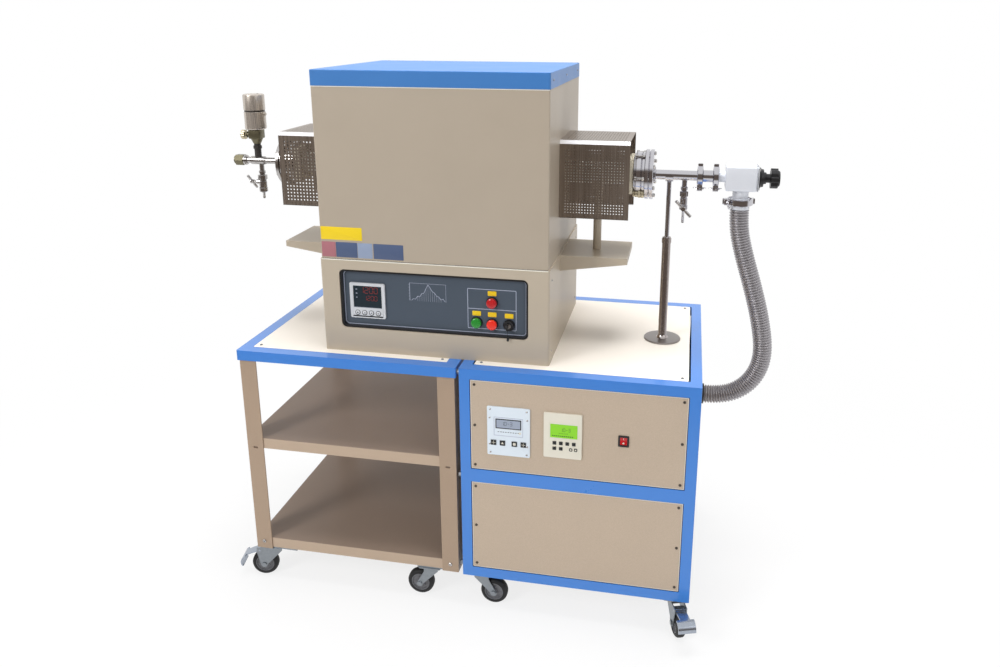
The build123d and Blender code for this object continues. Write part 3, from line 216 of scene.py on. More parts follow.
def placePiece(name, mesh, body, materials, standsFor=()):
    for look in materials:
        mesh.materials.append(finish[look])
    piece = addObject(name, mesh)
    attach(piece, body)
    if standsFor:
        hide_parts(*standsFor)
    return piece


# colours and shared shader groups

def paint(code):
    # sRGB hex to the linear colour that Blender stores
    channels = [int(code[k:k + 2], 16) / 255 for k in (1, 3, 5)]
    linear = [c / 12.92 if c <= 0.04045 else ((c + 0.055) / 1.055) ** 2.4 for c in channels]
    return (*linear, 1.0)


def newGroup(name, treeKind, inputs, outputs):
    group = bpy.data.node_groups.new(name, treeKind)
    for label, kind, value in inputs:
        socket = group.interface.new_socket(label, in_out="INPUT", socket_type=kind)
        if value is not None:
            socket.default_value = value
    for label, kind in outputs:
        group.interface.new_socket(label, in_out="OUTPUT", socket_type=kind)
    return group, group.nodes.new("NodeGroupInput"), group.nodes.new("NodeGroupOutput")


def addNode(tree, kind, values=None, **traits):
    # values go to the node's inputs, traits to the node itself
    node = tree.nodes.new(kind)
    for trait, value in traits.items():
        setattr(node, trait, value)
    for label, value in (values or {}).items():
        node.inputs[label].default_value = value
    return node


def mathNode(tree, operation, first, second=0.0, third=None):
    node = addNode(tree, "ShaderNodeMath", operation=operation)
    for k, value in enumerate((first, second, third)):
        if value is None:
            continue
        if hasattr(value, "links"):
            tree.links.new(value, node.inputs[k])
        else:
            node.inputs[k].default_value = value
    return node.outputs[0]


def makePowderGroup():
    # fine orange-peel texture of powder coat, with pale and dark specks
    group, given, put = newGroup(
        "powderCoatSkin",
        "ShaderNodeTree",
        (("Grain Size", "NodeSocketFloat", 900.0), ("Specks", "NodeSocketFloat", 0.2)),
        (("Shade", "NodeSocketFloat"), ("Height", "NodeSocketFloat")),
    )
    place = group.nodes.new("ShaderNodeTexCoord")
    fine = addNode(group, "ShaderNodeTexNoise", {"Detail": 3.0})
    coarse = addNode(group, "ShaderNodeTexNoise", {"Scale": 7.0, "Detail": 3.0})
    group.links.new(place.outputs["Object"], fine.inputs["Vector"])
    group.links.new(place.outputs["Object"], coarse.inputs["Vector"])
    group.links.new(given.outputs["Grain Size"], fine.inputs["Scale"])
    centred = mathNode(group, "SUBTRACT", fine.outputs["Fac"], 0.5)
    specks = mathNode(group, "MULTIPLY", centred, given.outputs["Specks"])
    drift = mathNode(group, "MULTIPLY", mathNode(group, "SUBTRACT", coarse.outputs["Fac"], 0.5), 0.10)
    group.links.new(mathNode(group, "ADD", mathNode(group, "ADD", specks, drift), 0.5), put.inputs["Shade"])
    group.links.new(fine.outputs["Fac"], put.inputs["Height"])
    return group


def makeBrushedGroup():
    # long fine scratches along one direction, as on brushed sheet and drawn tube
    group, given, put = newGroup(
        "brushedGrain",
        "ShaderNodeTree",
        (("Stretch", "NodeSocketVector", (6.0, 400.0, 400.0)),),
        (("Shade", "NodeSocketFloat"), ("Roughness Shift", "NodeSocketFloat")),
    )
    place = group.nodes.new("ShaderNodeTexCoord")
    scaled = addNode(group, "ShaderNodeVectorMath", operation="MULTIPLY")
    group.links.new(place.outputs["Object"], scaled.inputs[0])
    group.links.new(given.outputs["Stretch"], scaled.inputs[1])
    streaks = addNode(group, "ShaderNodeTexNoise", {"Scale": 1.0, "Detail": 4.0})
    group.links.new(scaled.outputs[0], streaks.inputs["Vector"])
    group.links.new(streaks.outputs["Fac"], put.inputs["Shade"])
    group.links.new(
        mathNode(group, "MULTIPLY_ADD", streaks.outputs["Fac"], 0.24, -0.12), put.inputs["Roughness Shift"],
    )
    return group


def makeHandlingGroup():
    # slow clouding where hands, dust and wiping have changed the gloss
    group, given, put = newGroup(
        "handlingMarks",
        "ShaderNodeTree",
        (("Patch Size", "NodeSocketFloat", 9.0), ("Strength", "NodeSocketFloat", 0.12)),
        (("Shade", "NodeSocketFloat"), ("Roughness Shift", "NodeSocketFloat")),
    )
    place = group.nodes.new("ShaderNodeTexCoord")
    cloud = addNode(group, "ShaderNodeTexNoise", {"Detail": 5.0, "Roughness": 0.6})
    group.links.new(place.outputs["Object"], cloud.inputs["Vector"])
    group.links.new(given.outputs["Patch Size"], cloud.inputs["Scale"])
    centred = mathNode(group, "SUBTRACT", cloud.outputs["Fac"], 0.5)
    scaled = mathNode(group, "MULTIPLY", centred, given.outputs["Strength"])
    group.links.new(mathNode(group, "ADD", scaled, 0.5), put.inputs["Shade"])
    group.links.new(scaled, put.inputs["Roughness Shift"])
    return group


powderCoatSkin = makePowderGroup()
brushedGrain = makeBrushedGroup()
handlingMarks = makeHandlingGroup()
print("shader groups ready")


def finishMaterial(
    name, code, roughness, metallic=0.0, coat=0.0, specks=None, grain=None,
    marks=0.12, bump=0.0, contrast=0.22, glow=0.0,
):
    material = bpy.data.materials.new(name)
    material.use_nodes = True
    tree = material.node_tree
    shader = tree.nodes["Principled BSDF"]
    colour = paint(code)
    shader.inputs["Metallic"].default_value = metallic
    shader.inputs["Coat Weight"].default_value = coat
    shader.inputs["Coat Roughness"].default_value = 0.12
    marksNode = addNode(tree, "ShaderNodeGroup", {"Strength": marks}, node_tree=handlingMarks)
    shade = marksNode.outputs["Shade"]
    roughShift = marksNode.outputs["Roughness Shift"]
    if specks:
        skin = addNode(
            tree, "ShaderNodeGroup", {"Grain Size": specks[0], "Specks": specks[1]},
            node_tree=powderCoatSkin,
        )
        shade = mathNode(tree, "SUBTRACT", mathNode(tree, "ADD", shade, skin.outputs["Shade"]), 0.5)
        if bump > 0:
            bumpNode = addNode(tree, "ShaderNodeBump", {"Strength": bump, "Distance": 0.0004})
            tree.links.new(skin.outputs["Height"], bumpNode.inputs["Height"])
            tree.links.new(bumpNode.outputs["Normal"], shader.inputs["Normal"])
    if grain:
        brush = addNode(tree, "ShaderNodeGroup", {"Stretch": grain}, node_tree=brushedGrain)
        shade = mathNode(tree, "SUBTRACT", mathNode(tree, "ADD", shade, brush.outputs["Shade"]), 0.5)
        roughShift = mathNode(tree, "ADD", roughShift, brush.outputs["Roughness Shift"])
    ramp = addNode(
        tree, "ShaderNodeMix",
        {
            "A": (*[c * (1 - contrast) for c in colour[:3]], 1),
            "B": (*[min(1, c * (1 + contrast)) for c in colour[:3]], 1),
        },
        data_type="RGBA",
    )
    tree.links.new(shade, ramp.inputs["Factor"])
    tree.links.new(ramp.outputs["Result"], shader.inputs["Base Color"])
    tree.links.new(mathNode(tree, "ADD", roughShift, roughness), shader.inputs["Roughness"])
    if glow > 0:
        shader.inputs["Emission Color"].default_value = colour
        shader.inputs["Emission Strength"].default_value = glow
    return material


alongX = (5.0, 500.0, 500.0)
alongZ = (500.0, 500.0, 5.0)
finish = {}


def addFinish(name, *look, **extras):
    finish[name] = finishMaterial(name, *look, **extras)


addFinish("bodyEnamel", "#AEA190", 0.42, specks=(1100, 0.10), coat=0.06, bump=0.15)
addFinish("lidEnamel", "#3B78BB", 0.40, specks=(1100, 0.10), coat=0.05, bump=0.1)
addFinish("standBlue", "#2C7AD0", 0.30, specks=(900, 0.16), coat=0.7, bump=0.2)
addFinish("legPowder", "#A58E78", 0.50, specks=(700, 0.5), coat=0.1, bump=0.3)
addFinish("shelfPowder", "#938071", 0.50, specks=(700, 0.4), coat=0.05, bump=0.3)
addFinish("panelPowder", "#BBA995", 0.55, specks=(600, 0.75), bump=0.4)
addFinish("creamBoard", "#F8EEE4", 0.5, specks=(500, 0.12), marks=0.2, contrast=0.12)
addFinish("slatePanel", "#47525F", 0.40, specks=(1200, 0.1), coat=0.2)
addFinish("panelLine", "#AEB5C8", 0.45)
addFinish("guardSteel", "#9A8E83", 0.34, metallic=0.85, grain=alongZ, contrast=0.45)
# painted highlight: a near-white copy of the guard steel for the guards' chamfer strip and bottom lips,
# where the edges catch the light
addFinish("bevelHighlightSteel", "#F0EFF5", 0.30, metallic=0.4)
addFinish("baseEnamel", "#B8AB98", 0.42, specks=(1100, 0.10), coat=0.06, bump=0.15)
addFinish("poleSteel", "#B5ADAA", 0.22, metallic=1.0, grain=alongZ, contrast=0.15)
addFinish("footSteel", "#8C8683", 0.30, metallic=0.9)
# paler copy of the shelf powder: painted highlight for the shelves' front lips
addFinish("litLipPowder", "#B7A18B", 0.48, specks=(700, 0.4), coat=0.1, bump=0.3)
# painted highlight for the sheet edges lit at the seams
addFinish("edgeHighlightPaint", "#F1E9DD", 0.45)
addFinish("darkScrew", "#57504A", 0.35, metallic=0.7)
addFinish("turnedSteel", "#B9B6B4", 0.21, metallic=1.0, grain=alongX, contrast=0.25)
addFinish("polishedSteel", "#C6C5CA", 0.12, metallic=1.0, contrast=0.15)
addFinish("castAluminium", "#E4E7F5", 0.38, metallic=0.2, specks=(900, 0.12), bump=0.2)
addFinish("bellowsSteel", "#A9A6A9", 0.38, metallic=0.85, contrast=0.1)
addFinish("zincPlate", "#8E9398", 0.36, metallic=0.9, specks=(120, 0.5), contrast=0.3)
addFinish("pedalChrome", "#A6ADB8", 0.2, metallic=0.9)
addFinish("oliveBrass", "#746E58", 0.34, metallic=0.75, specks=(500, 0.3), contrast=0.35)
addFinish("warmBrass", "#CDC2A6", 0.34, metallic=0.6, specks=(500, 0.2))
addFinish("gaugeEnamel", "#C3BAB0", 0.28, metallic=0.7, grain=alongZ, contrast=0.4)
addFinish("darkBand", "#3A352F", 0.45)
addFinish("fibreCollar", "#E5DCC6", 0.8, specks=(300, 0.4), bump=0.6)
addFinish("alumina", "#EFEAE0", 0.35, specks=(600, 0.1))
addFinish("blackMoulding", "#1C1C1E", 0.38, specks=(500, 0.3), contrast=0.4)
addFinish("tyreRubber", "#0E0E10", 0.62, specks=(250, 0.5), contrast=0.4, bump=0.4)
addFinish("hubPlastic", "#6C6C70", 0.42, specks=(400, 0.3))
addFinish("stopRed", "#B81218", 0.25, coat=0.6)
addFinish("heatRed", "#E22A16", 0.25, coat=0.6, glow=0.08)
addFinish("startGreen", "#1F8A2A", 0.25, coat=0.6)
addFinish("tagYellow", "#F0C400", 0.45)
addFinish("bezelGrey", "#C9CBCF", 0.45, specks=(900, 0.1))
addFinish("displayDark", "#1B2A33", 0.22, coat=0.3)
addFinish("digitRed", "#74201F", 0.4, glow=0.12)
addFinish("digitDark", "#3E4A52", 0.5)
addFinish("lcdGrey", "#98A2B4", 0.25, coat=0.4)
addFinish("lcdGreen", "#7FC800", 0.3, coat=0.4, glow=0.12)
addFinish("digitGreen", "#2F6A10", 0.5)
addFinish("plateBlue", "#D8E2EE", 0.4, coat=0.2)
addFinish("plateCream", "#DCD7C8", 0.45)
addFinish("plateSlate", "#4C5B7C", 0.42)
addFinish("plateSilver", "#8E9BB4", 0.4)
addFinish("plateRose", "#A86C74", 0.4)
addFinish("plateYellow", "#EFCB12", 0.4)
addFinish("pumpPaint", "#3C4652", 0.4, specks=(600, 0.2))
addFinish("elementGrey", "#4A4744", 0.5, metallic=0.6)
# dark surround of the vacuum gauge's display, and painted shade in the seams' gaps
addFinish("gaugeSurroundAndSeamShade", "#191715", 0.7)
print("finishes ready:", len(finish))

# camera first, then the hose, because the hose's spread depends on the view

cameraSettings = {
    "place": (0.5269, -2.1497, 1.5527),
    "tiltDown": 0.2683,
    "turn": 0.1910,
    "roll": -0.0022,
    "lens": 29.635,
    "shift": (-0.03, -0.0856),
}


def makeCamera(settings):
    data = bpy.data.cameras.new("studioCamera")
    data.sensor_width = 36
    data.lens = settings["lens"]
    data.shift_x, data.shift_y = settings["shift"]
    data.clip_end = 200
    camera = bpy.data.objects.new("studioCamera", data)
    camera.location = settings["place"]
    camera.rotation_euler = (math.pi / 2 - settings["tiltDown"], settings["roll"], settings["turn"])
    bpy.context.scene.collection.objects.link(camera)
    bpy.context.scene.camera = camera
    return camera


makeCamera(cameraSettings)


def newGeometryTree(name, inputs):
    return newGroup(name, "GeometryNodeTree", inputs, (("Geometry", "NodeSocketGeometry"),))


def endTree(tree, geometry, given, put):
    # every tree ends in real geometry with its material on it
    realize = tree.nodes.new("GeometryNodeRealizeInstances")
    paintOn = tree.nodes.new("GeometryNodeSetMaterial")
    tree.links.new(geometry, realize.inputs[0])
    tree.links.new(realize.outputs[0], paintOn.inputs["Geometry"])
    tree.links.new(given.outputs["Material"], paintOn.inputs["Material"])
    tree.links.new(paintOn.outputs[0], put.inputs["Geometry"])


def runTree(tree, values, carrier=None):
    # evaluates a tree on a carrier object and hands back the plain mesh
    if carrier is None:
        carrier = addObject("carrier", bpy.data.meshes.new("carrier"))
    modifier = carrier.modifiers.new("geometry", "NODES")
    modifier.node_group = tree
    sockets = {item.name: item.identifier for item in tree.interface.items_tree if item.in_out == "INPUT"}
    for label, value in values.items():
        modifier[sockets[label]] = value
    graph = bpy.context.evaluated_depsgraph_get()
    mesh = bpy.data.meshes.new_from_object(carrier.evaluated_get(graph))
    carrier.modifiers.remove(modifier)
    bpy.data.objects.remove(carrier)
    return mesh


hoseSettings = {
    "route": (
        (0.6665, 0.019, 1.082),
        (0.6665, 0.019, 1.034),
        (0.684, 0.019, 0.964),
        (0.713, 0.019, 0.876),
        (0.741, 0.019, 0.780),
        (0.757, 0.019, 0.686),
        (0.743, 0.019, 0.621),
        (0.706, 0.019, 0.574),
        (0.652, 0.019, 0.550),
        (0.6045, 0.019, 0.550),
    ),
    "diameter": 0.050,
    "pitch": 0.0072,
    "ridge": 0.0040,
    "length": 0.637,
}


def makeBellowsTree():
    tree, given, put = newGeometryTree(
        "bellowsAlongRoute",
        (
            ("Geometry", "NodeSocketGeometry", None),
            ("Radius", "NodeSocketFloat", 0.025),
            ("Ridge Depth", "NodeSocketFloat", 0.0024),
            ("Pitch", "NodeSocketFloat", 0.005),
            ("Sides", "NodeSocketInt", 40),
            ("Material", "NodeSocketMaterial", None),
        ),
    )
    link = tree.links.new
    spacing = mathNode(tree, "DIVIDE", given.outputs["Pitch"], 8.0)
    resample = addNode(tree, "GeometryNodeResampleCurve", mode="LENGTH")
    link(given.outputs["Geometry"], resample.inputs["Curve"])
    link(spacing, resample.inputs["Length"])
    along = tree.nodes.new("GeometryNodeSplineParameter")
    turns = mathNode(tree, "DIVIDE", along.outputs["Length"], given.outputs["Pitch"])
    wave = mathNode(tree, "COSINE", mathNode(tree, "MULTIPLY", turns, 2 * math.pi))
    rounded = mathNode(
        tree, "MULTIPLY", mathNode(tree, "POWER", mathNode(tree, "MULTIPLY_ADD", wave, 0.5, 0.5), 1.6),
        -1.0,
    )
    depth = mathNode(tree, "MULTIPLY", rounded, given.outputs["Ridge Depth"])
    radius = tree.nodes.new("GeometryNodeSetCurveRadius")
    link(resample.outputs[0], radius.inputs["Curve"])
    link(mathNode(tree, "ADD", given.outputs["Radius"], depth), radius.inputs["Radius"])
    section = addNode(tree, "GeometryNodeCurvePrimitiveCircle", {"Radius": 1.0})
    link(given.outputs["Sides"], section.inputs["Resolution"])
    sweep = tree.nodes.new("GeometryNodeCurveToMesh")
    link(radius.outputs[0], sweep.inputs["Curve"])
    link(section.outputs["Curve"], sweep.inputs["Profile Curve"])
    if "Scale" in sweep.inputs:
        carried = tree.nodes.new("GeometryNodeInputRadius")
        link(carried.outputs[0], sweep.inputs["Scale"])
    sweep.inputs["Fill Caps"].default_value = True
    smooth = tree.nodes.new("GeometryNodeSetShadeSmooth")
    link(sweep.outputs[0], smooth.inputs["Geometry"])
    endTree(tree, smooth.outputs[0], given, put)
    return tree


def routeCurve(name, points):
    data = bpy.data.curves.new(name, "CURVE")
    data.dimensions = "3D"
    data.resolution_u = 16
    spline = data.splines.new("NURBS")
    spline.points.add(len(points) - 1)
    for point, place in zip(spline.points, points):
        point.co = (*place, 1)
    spline.order_u = 3
    spline.use_endpoint_u = True
    curve = addObject(name, data)
    return curve


def makeHose(settings):
    line = bpy.data.meshes.new_from_object(routeCurve("hoseLine", settings["route"]))
    bpy.data.objects.remove(bpy.data.objects["hoseLine"])
    bpy.data.meshes.remove(line)
    values = {
        "Radius": settings["diameter"] / 2,
        "Ridge Depth": settings["ridge"],
        "Pitch": settings["pitch"],
        "Material": finish["bellowsSteel"],
    }
    mesh = runTree(makeBellowsTree(), values, routeCurve("hoseCarrier", settings["route"]))
    mesh.materials.clear()
    hose = placePiece("bellowsHose", mesh, "frame", ["bellowsSteel"], ("vacuum_hose",))


makeHose(hoseSettings)

# stepped round parts, hexagons and rings shared by the plumbing

def steppedProfile(steps, chamfer=0.0006):
    # steps: (length, radius); each shoulder gets a small chamfer so that it catches light
    profile = [(0.0, 0.0)]
    along = 0.0
    for length, radius in steps:
        edge = min(chamfer, length * 0.3, radius * 0.3)
        profile += [(along, radius - edge), (along + edge, radius), (along + length - edge, radius)]
        along += length
        profile.append((along, radius - edge))
    profile.append((along, 0.0))
    return profile


def addSteps(bm, origin, axis, steps, segments=48, slot=0, chamfer=0.0006):
    return addTurned(bm, origin, axis, steppedProfile(steps, chamfer), segments, slot)


def addHex(bm, origin, axis, length, radius, slot=0, phase=0.0):
    return addTurned(bm, origin, axis, steppedProfile(((length, radius),), 0.0008), 6, slot, phase)


def addRing(bm, origin, axis, section, segments=48, slot=0):
    # section: closed loop of (distance along the axis, radius)
    axis, across, up = sideAxes(axis)
    origin = Vector(origin)
    rings = []
    for k in range(segments):
        angle = 2 * math.pi * k / segments
        spoke = math.cos(angle) * across + math.sin(angle) * up
        rings.append([bm.verts.new(origin + axis * along + spoke * radius) for along, radius in section])
    count = len(section)
    for k in range(segments):
        near, far = rings[k], rings[(k + 1) % segments]
        for j in range(count):
            following = (j + 1) % count
            bm.faces.new((near[j], near[following], far[following], far[j])).material_index = slot


def addRod(bm, start, end, radius, segments=20, slot=0, domed=True):
    start, end = Vector(start), Vector(end)
    length = (end - start).length
    if domed:
        tip = radius * 0.35
        profile = (
            (0, 0), (0, radius - tip), (tip, radius), (length - tip, radius), (length, radius - tip),
            (length, 0),
        )
    else:
        profile = ((0, 0), (0, radius), (length, radius), (length, 0))
    addTurned(bm, start, end - start, profile, segments, slot)


alongTube = Vector((1, 0, 0))
upward = Vector((0, 0, 1))
tubeY = 0.019
tubeZ = 1.165

flangeSettings = {
    "rightFace": 0.3905,
    "leftFace": -0.5535,
    "steps": (
        (0.0035, 0.0540), (0.0030, 0.0575), (0.0130, 0.0585), (0.0020, 0.0560), (0.0075, 0.0585),
        (0.0100, 0.066), (0.0022, 0.0605), (0.0098, 0.066),
    ),
    "boltCircle": 0.056,
    "tieCircle": 0.0605,
    "tieAngles": (62, 122, 182),
    "portReach": 0.060,
    "portAngle": 50,
}


def makeFlange(name, faceX, outward, settings, colour, tied):
    bm = bmesh.new()
    centre = Vector((faceX, tubeY, tubeZ))
    axis = alongTube * outward
    addSteps(bm, centre, axis, settings["steps"], 72, 0, 0.0010)
    depth = sum(length for length, radius in settings["steps"])
    for k in range(6):
        angle = math.radians(30 + 60 * k)
        spoke = Vector((0, math.cos(angle), math.sin(angle)))
        addHex(bm, centre + axis * depth + spoke * settings["boltCircle"], axis, 0.0044, 0.0055, 1)
        addSteps(
            bm, centre + axis * (depth + 0.0044) + spoke * settings["boltCircle"], axis,
            ((0.0005, 0.0032),), 16, 1,
        )
    for angle in settings["tieAngles"] if tied else ():
        angle = math.radians(angle)
        spoke = Vector((0, math.cos(angle), math.sin(angle)))
        start = centre + spoke * settings["tieCircle"]
        addRod(bm, start + axis * 0.004, start + axis * (depth - 0.001), 0.0030, 16, 1)
        addSteps(bm, start + axis * 0.003, axis, ((0.006, 0.0052), (0.002, 0.0042)), 20, 1)
        addHex(bm, start + axis * 0.022, axis, 0.007, 0.0054, 1)
    materials = [colour, "turnedSteel"]
    return makePiece(name, bm, "frame", materials)


def makeSidePort(settings):
    # brass port that lies along the right flange's barrel
    bm = bmesh.new()
    angle = math.radians(settings["portAngle"])
    start = Vector(
        (
            settings["rightFace"], tubeY - settings["portReach"] * math.cos(angle),
            tubeZ - settings["portReach"] * math.sin(angle),
        )
    )
    addSteps(bm, start, alongTube, ((0.0035, 0.0085), (0.0015, 0.0075), (0.0085, 0.0090)), 32)
    addHex(bm, start + alongTube * 0.0135, alongTube, 0.0065, 0.0110)
    addSteps(bm, start + alongTube * 0.0200, alongTube, ((0.0085, 0.0105),), 32)
    makePiece("flangeSidePort", bm, "frame", ["warmBrass"])


def makeFlanges(settings):
    right = makeFlange("rightFlange", settings["rightFace"], 1, settings, "polishedSteel", True)
    makeFlange("leftFlange", settings["leftFace"], -1, settings, "turnedSteel", False)
    makeSidePort(settings)
    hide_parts("tube_flanges")


makeFlanges(flangeSettings)


def addNeedleBody(bm, x, top, low, barbLow, radius, slot=0):
    # needle valve hanging under a pipe: neck, nut, body and hose barb
    steps = (
        (tubeZ - top - 0.008, 0.007),
        (0.008, 0.0095),
        (0.004, 0.0075),
        (0.014, radius),
        (0.004, radius - 0.002),
        (top - low - 0.034, radius - 0.001),
        (0.012, radius),
    )
    addSteps(bm, (x, tubeY, tubeZ), -upward, steps, 32, slot, 0.0008)
    addHex(bm, (x, tubeY, top - 0.004), -upward, 0.013, radius + 0.0012, slot)
    taper = (
        (0, radius - 0.002), (0.004, 0.0045), (0.006, 0.0035), (low - barbLow, 0.0035), (low - barbLow, 0),
    )
    addTurned(bm, (x, tubeY, low), -upward, ((0, 0),) + taper, 24, slot)
    for k in range(3):
        ridge = ((0, 0.0034), (0.003, 0.0034), (0.003, 0.0041), (0.0005, 0.0035))
        addRing(bm, (x, tubeY, barbLow + 0.002 + 0.004 * k), upward, ridge, 24, slot)


inletSettings = {
    "start": -0.6045,
    "nutLeft": -0.7615,
    "gaugeX": -0.6895,
    "valveX": -0.6815,
    "valveTop": 1.127,
    "valveLow": 1.074,
    "barbLow": 1.054,
    "handleZ": 1.102,
    "pipe": 0.009,
}


def makeInlet(settings):
    bm = bmesh.new()
    pipeEnd = settings["nutLeft"] + 0.030
    addSteps(
        bm, (settings["start"], tubeY, tubeZ), -alongTube,
        ((0.003, 0.016), (0.005, 0.014), (0.007, 0.0115)), 40,
    )
    addSteps(
        bm, (settings["start"], tubeY, tubeZ), -alongTube,
        ((settings["start"] - pipeEnd, settings["pipe"]),), 40,
    )
    addSteps(
        bm, (settings["gaugeX"] + 0.022, tubeY, tubeZ), -alongTube,
        ((0.003, 0.0112), (0.038, 0.012), (0.003, 0.0112)), 40,
    )
    addSteps(
        bm, (settings["nutLeft"] + 0.038, tubeY, tubeZ), -alongTube, ((0.003, 0.013), (0.006, 0.0145)), 40,
    )
    addHex(bm, (settings["nutLeft"] + 0.029, tubeY, tubeZ), -alongTube, 0.025, 0.0168, 1)
    addSteps(bm, (settings["nutLeft"] + 0.004, tubeY, tubeZ), -alongTube, ((0.004, 0.0125),), 32, 1)
    addSteps(
        bm, (settings["gaugeX"], tubeY, tubeZ), upward,
        ((0.034, 0.0095), (0.0085, 0.012), (0.0065, 0.0095)), 32, 2,
    )
    addNeedleBody(
        bm, settings["valveX"], settings["valveTop"], settings["valveLow"], settings["barbLow"], 0.012,
    )
    addSteps(
        bm, (settings["valveX"], tubeY, settings["handleZ"]), -alongTube, ((0.012, 0.0085), (0.007, 0.007)),
        28,
    )
    materials = ["turnedSteel", "oliveBrass", "elementGrey"]
    makePiece("inletCross", bm, "frame", materials, ("inlet_manifold",))


makeInlet(inletSettings)

gaugeSettings = {
    "x": -0.6895,
    "valveLow": 1.214,
    "valveHigh": 1.255,
    "headHigh": 1.354,
    "radius": 0.0297,
    "bandLow": 1.3045,
    "bandHigh": 1.3095,
}


def makeGaugeHead(settings):
    bm = bmesh.new()
    r = settings["radius"]
    low = settings["valveHigh"]
    bandLow, bandHigh = settings["bandLow"] - low, settings["bandHigh"] - low
    top = settings["headHigh"] - low
    lower = (
        (0, 0), (0, r - 0.003), (0.0015, r - 0.001), (0.003, r), (bandLow - 0.0006, r),
        (bandLow, r - 0.0006), (bandLow, 0),
    )
    upper = (
        (bandHigh, 0), (bandHigh, r - 0.0006), (bandHigh + 0.0006, r), (top - 0.004, r),
        (top - 0.0015, r - 0.001), (top, r - 0.004), (top, 0),
    )
    addTurned(bm, (settings["x"], tubeY, low), upward, lower, 72, 0)
    addTurned(bm, (settings["x"], tubeY, low), upward, upper, 72, 0)
    band = ((bandLow, 0), (bandLow, r - 0.0016), (bandHigh, r - 0.0016), (bandHigh, 0))
    addTurned(bm, (settings["x"], tubeY, low), upward, band, 72, 1)
    addSteps(bm, (settings["x"] + 0.028, tubeY, 1.298), alongTube, ((0.0065, 0.004),), 20, 0)
    addSteps(
        bm, (settings["x"] + 0.010, tubeY + 0.006, settings["headHigh"] - 0.0002), upward,
        ((0.0008, 0.0022),), 16, 1,
    )
    makePiece("gaugeHeadCase", bm, "frame", ["gaugeEnamel", "darkBand"], ("gauge_head",))
    valve = bmesh.new()
    mid = (settings["valveLow"] + settings["valveHigh"]) / 2 + 0.004
    addBox(
        valve, (settings["x"] - 0.0175, tubeY - 0.017, 1.228),
        (settings["x"] + 0.0175, tubeY + 0.017, 1.2549), 0.003, 2,
    )
    skirt = ((0, 0), (0, 0.0105), (0.001, 0.011), (0.014, 0.017), (0.0145, 0))
    addTurned(valve, (settings["x"], tubeY, settings["valveLow"]), upward, skirt, 36)
    addSteps(
        valve, (settings["x"] - 0.0165, tubeY, mid), -alongTube,
        ((0.004, 0.0095), (0.006, 0.0060), (0.0025, 0.0085)), 28,
    )
    makePiece("isolationValve", valve, "frame", ["oliveBrass"], ("gauge_valve",))


makeGaugeHead(gaugeSettings)

exhaustSettings = {
    "start": 0.4415,
    "end": 0.5615,
    "clampTwo": 0.6015,
    "valveX": 0.522,
    "valveTop": 1.127,
    "valveLow": 1.074,
    "barbLow": 1.038,
    "handleZ": 1.082,
}


def makeExhaust(settings):
    bm = bmesh.new()
    run = settings["end"] - settings["start"]
    addSteps(
        bm, (settings["start"], tubeY, tubeZ), alongTube,
        ((0.002, 0.021), (0.003, 0.019), (run - 0.012, 0.013), (0.003, 0.017), (0.004, 0.020)), 56,
    )
    gap = settings["clampTwo"] - settings["end"] - 0.0142
    addSteps(
        bm, (settings["end"] + 0.0001, tubeY, tubeZ), alongTube,
        ((0.004, 0.020), (0.003, 0.017), (gap, 0.0155), (0.003, 0.017), (0.004, 0.020)), 56,
    )
    addNeedleBody(
        bm, settings["valveX"], settings["valveTop"], settings["valveLow"], settings["barbLow"], 0.011,
    )
    addSteps(
        bm, (settings["valveX"], tubeY, settings["handleZ"]), (0, -1, 0), ((0.010, 0.008), (0.007, 0.0065)),
        28,
    )
    makePiece("exhaustLine", bm, "frame", ["polishedSteel"], ("exhaust_pipe",))


makeExhaust(exhaustSettings)


def addWing(bm, centre, axis, side, slot=0):
    # wing nut: short hub with two rounded ears
    axis = Vector(axis).normalized()
    side = Vector(side).normalized()
    third = axis.cross(side)
    addSteps(bm, Vector(centre), axis, ((0.006, 0.0045), (0.002, 0.0035)), 20, slot)
    for sign in (-1, 1):
        tip = Vector(centre) + axis * 0.006 + side * sign * 0.011
        outline = ellipseOutline(0.0058, 0.0048, 14)
        addPrism(bm, outline, tip - third * 0.0012, side, axis, 0.0024, slot, 0.0007)
        addRod(bm, Vector(centre) + axis * 0.003, tip, 0.0019, 10, slot)


def addClamp(bm, centre, axis, bore, radius, width, foot):
    # hinged clamp: vee band, hinge ears, eye bolt and wing nut; foot points to its closure
    axis, foot = Vector(axis).normalized(), Vector(foot).normalized()
    cross = axis.cross(foot)
    half = width / 2
    section = (
        (-half, radius - 0.002), (-half + 0.0015, radius), (half - 0.0015, radius), (half, radius - 0.002),
        (half, bore + 0.0008), (half - 0.0022, bore), (-half + 0.0022, bore), (-half, bore + 0.0008),
    )
    addRing(bm, centre, axis, section, 64)
    centre = Vector(centre)
    for sign in (-1, 1):
        ear = centre + foot * (radius + 0.004) + cross * sign * 0.0055
        corner = Vector((abs(axis.x), abs(axis.y), abs(axis.z))) * (half - 0.0006)
        corner += Vector([abs(v) for v in foot]) * 0.0075 + Vector([abs(v) for v in cross]) * 0.0024
        addBox(bm, ear - corner, ear + corner, 0.0012)
        hinge = centre - foot * (radius + 0.001) + cross * sign * 0.0034
        corner = Vector([abs(v) for v in axis]) * (half - 0.001) + Vector([abs(v) for v in foot]) * 0.004
        corner += Vector([abs(v) for v in cross]) * 0.0026
        addBox(bm, hinge - corner, hinge + corner, 0.001)
    pin = centre + foot * (radius + 0.0055)
    addRod(bm, pin - cross * 0.016, pin + cross * 0.021, 0.0024, 16)
    addWing(bm, pin + cross * 0.0105, cross, axis)
    addSteps(bm, pin - cross * 0.0085, -cross, ((0.004, 0.0048),), 6)


clampSettings = {
    "pipePlaces": (0.5610, 0.6015),
    "radius": 0.027,
    "bore": 0.0204,
    "width": 0.015,
    "hosePlace": (0.6665, 0.019, 1.102),
    "hoseRadius": 0.0335,
    "hoseBore": 0.0284,
    "hoseWidth": 0.017,
}


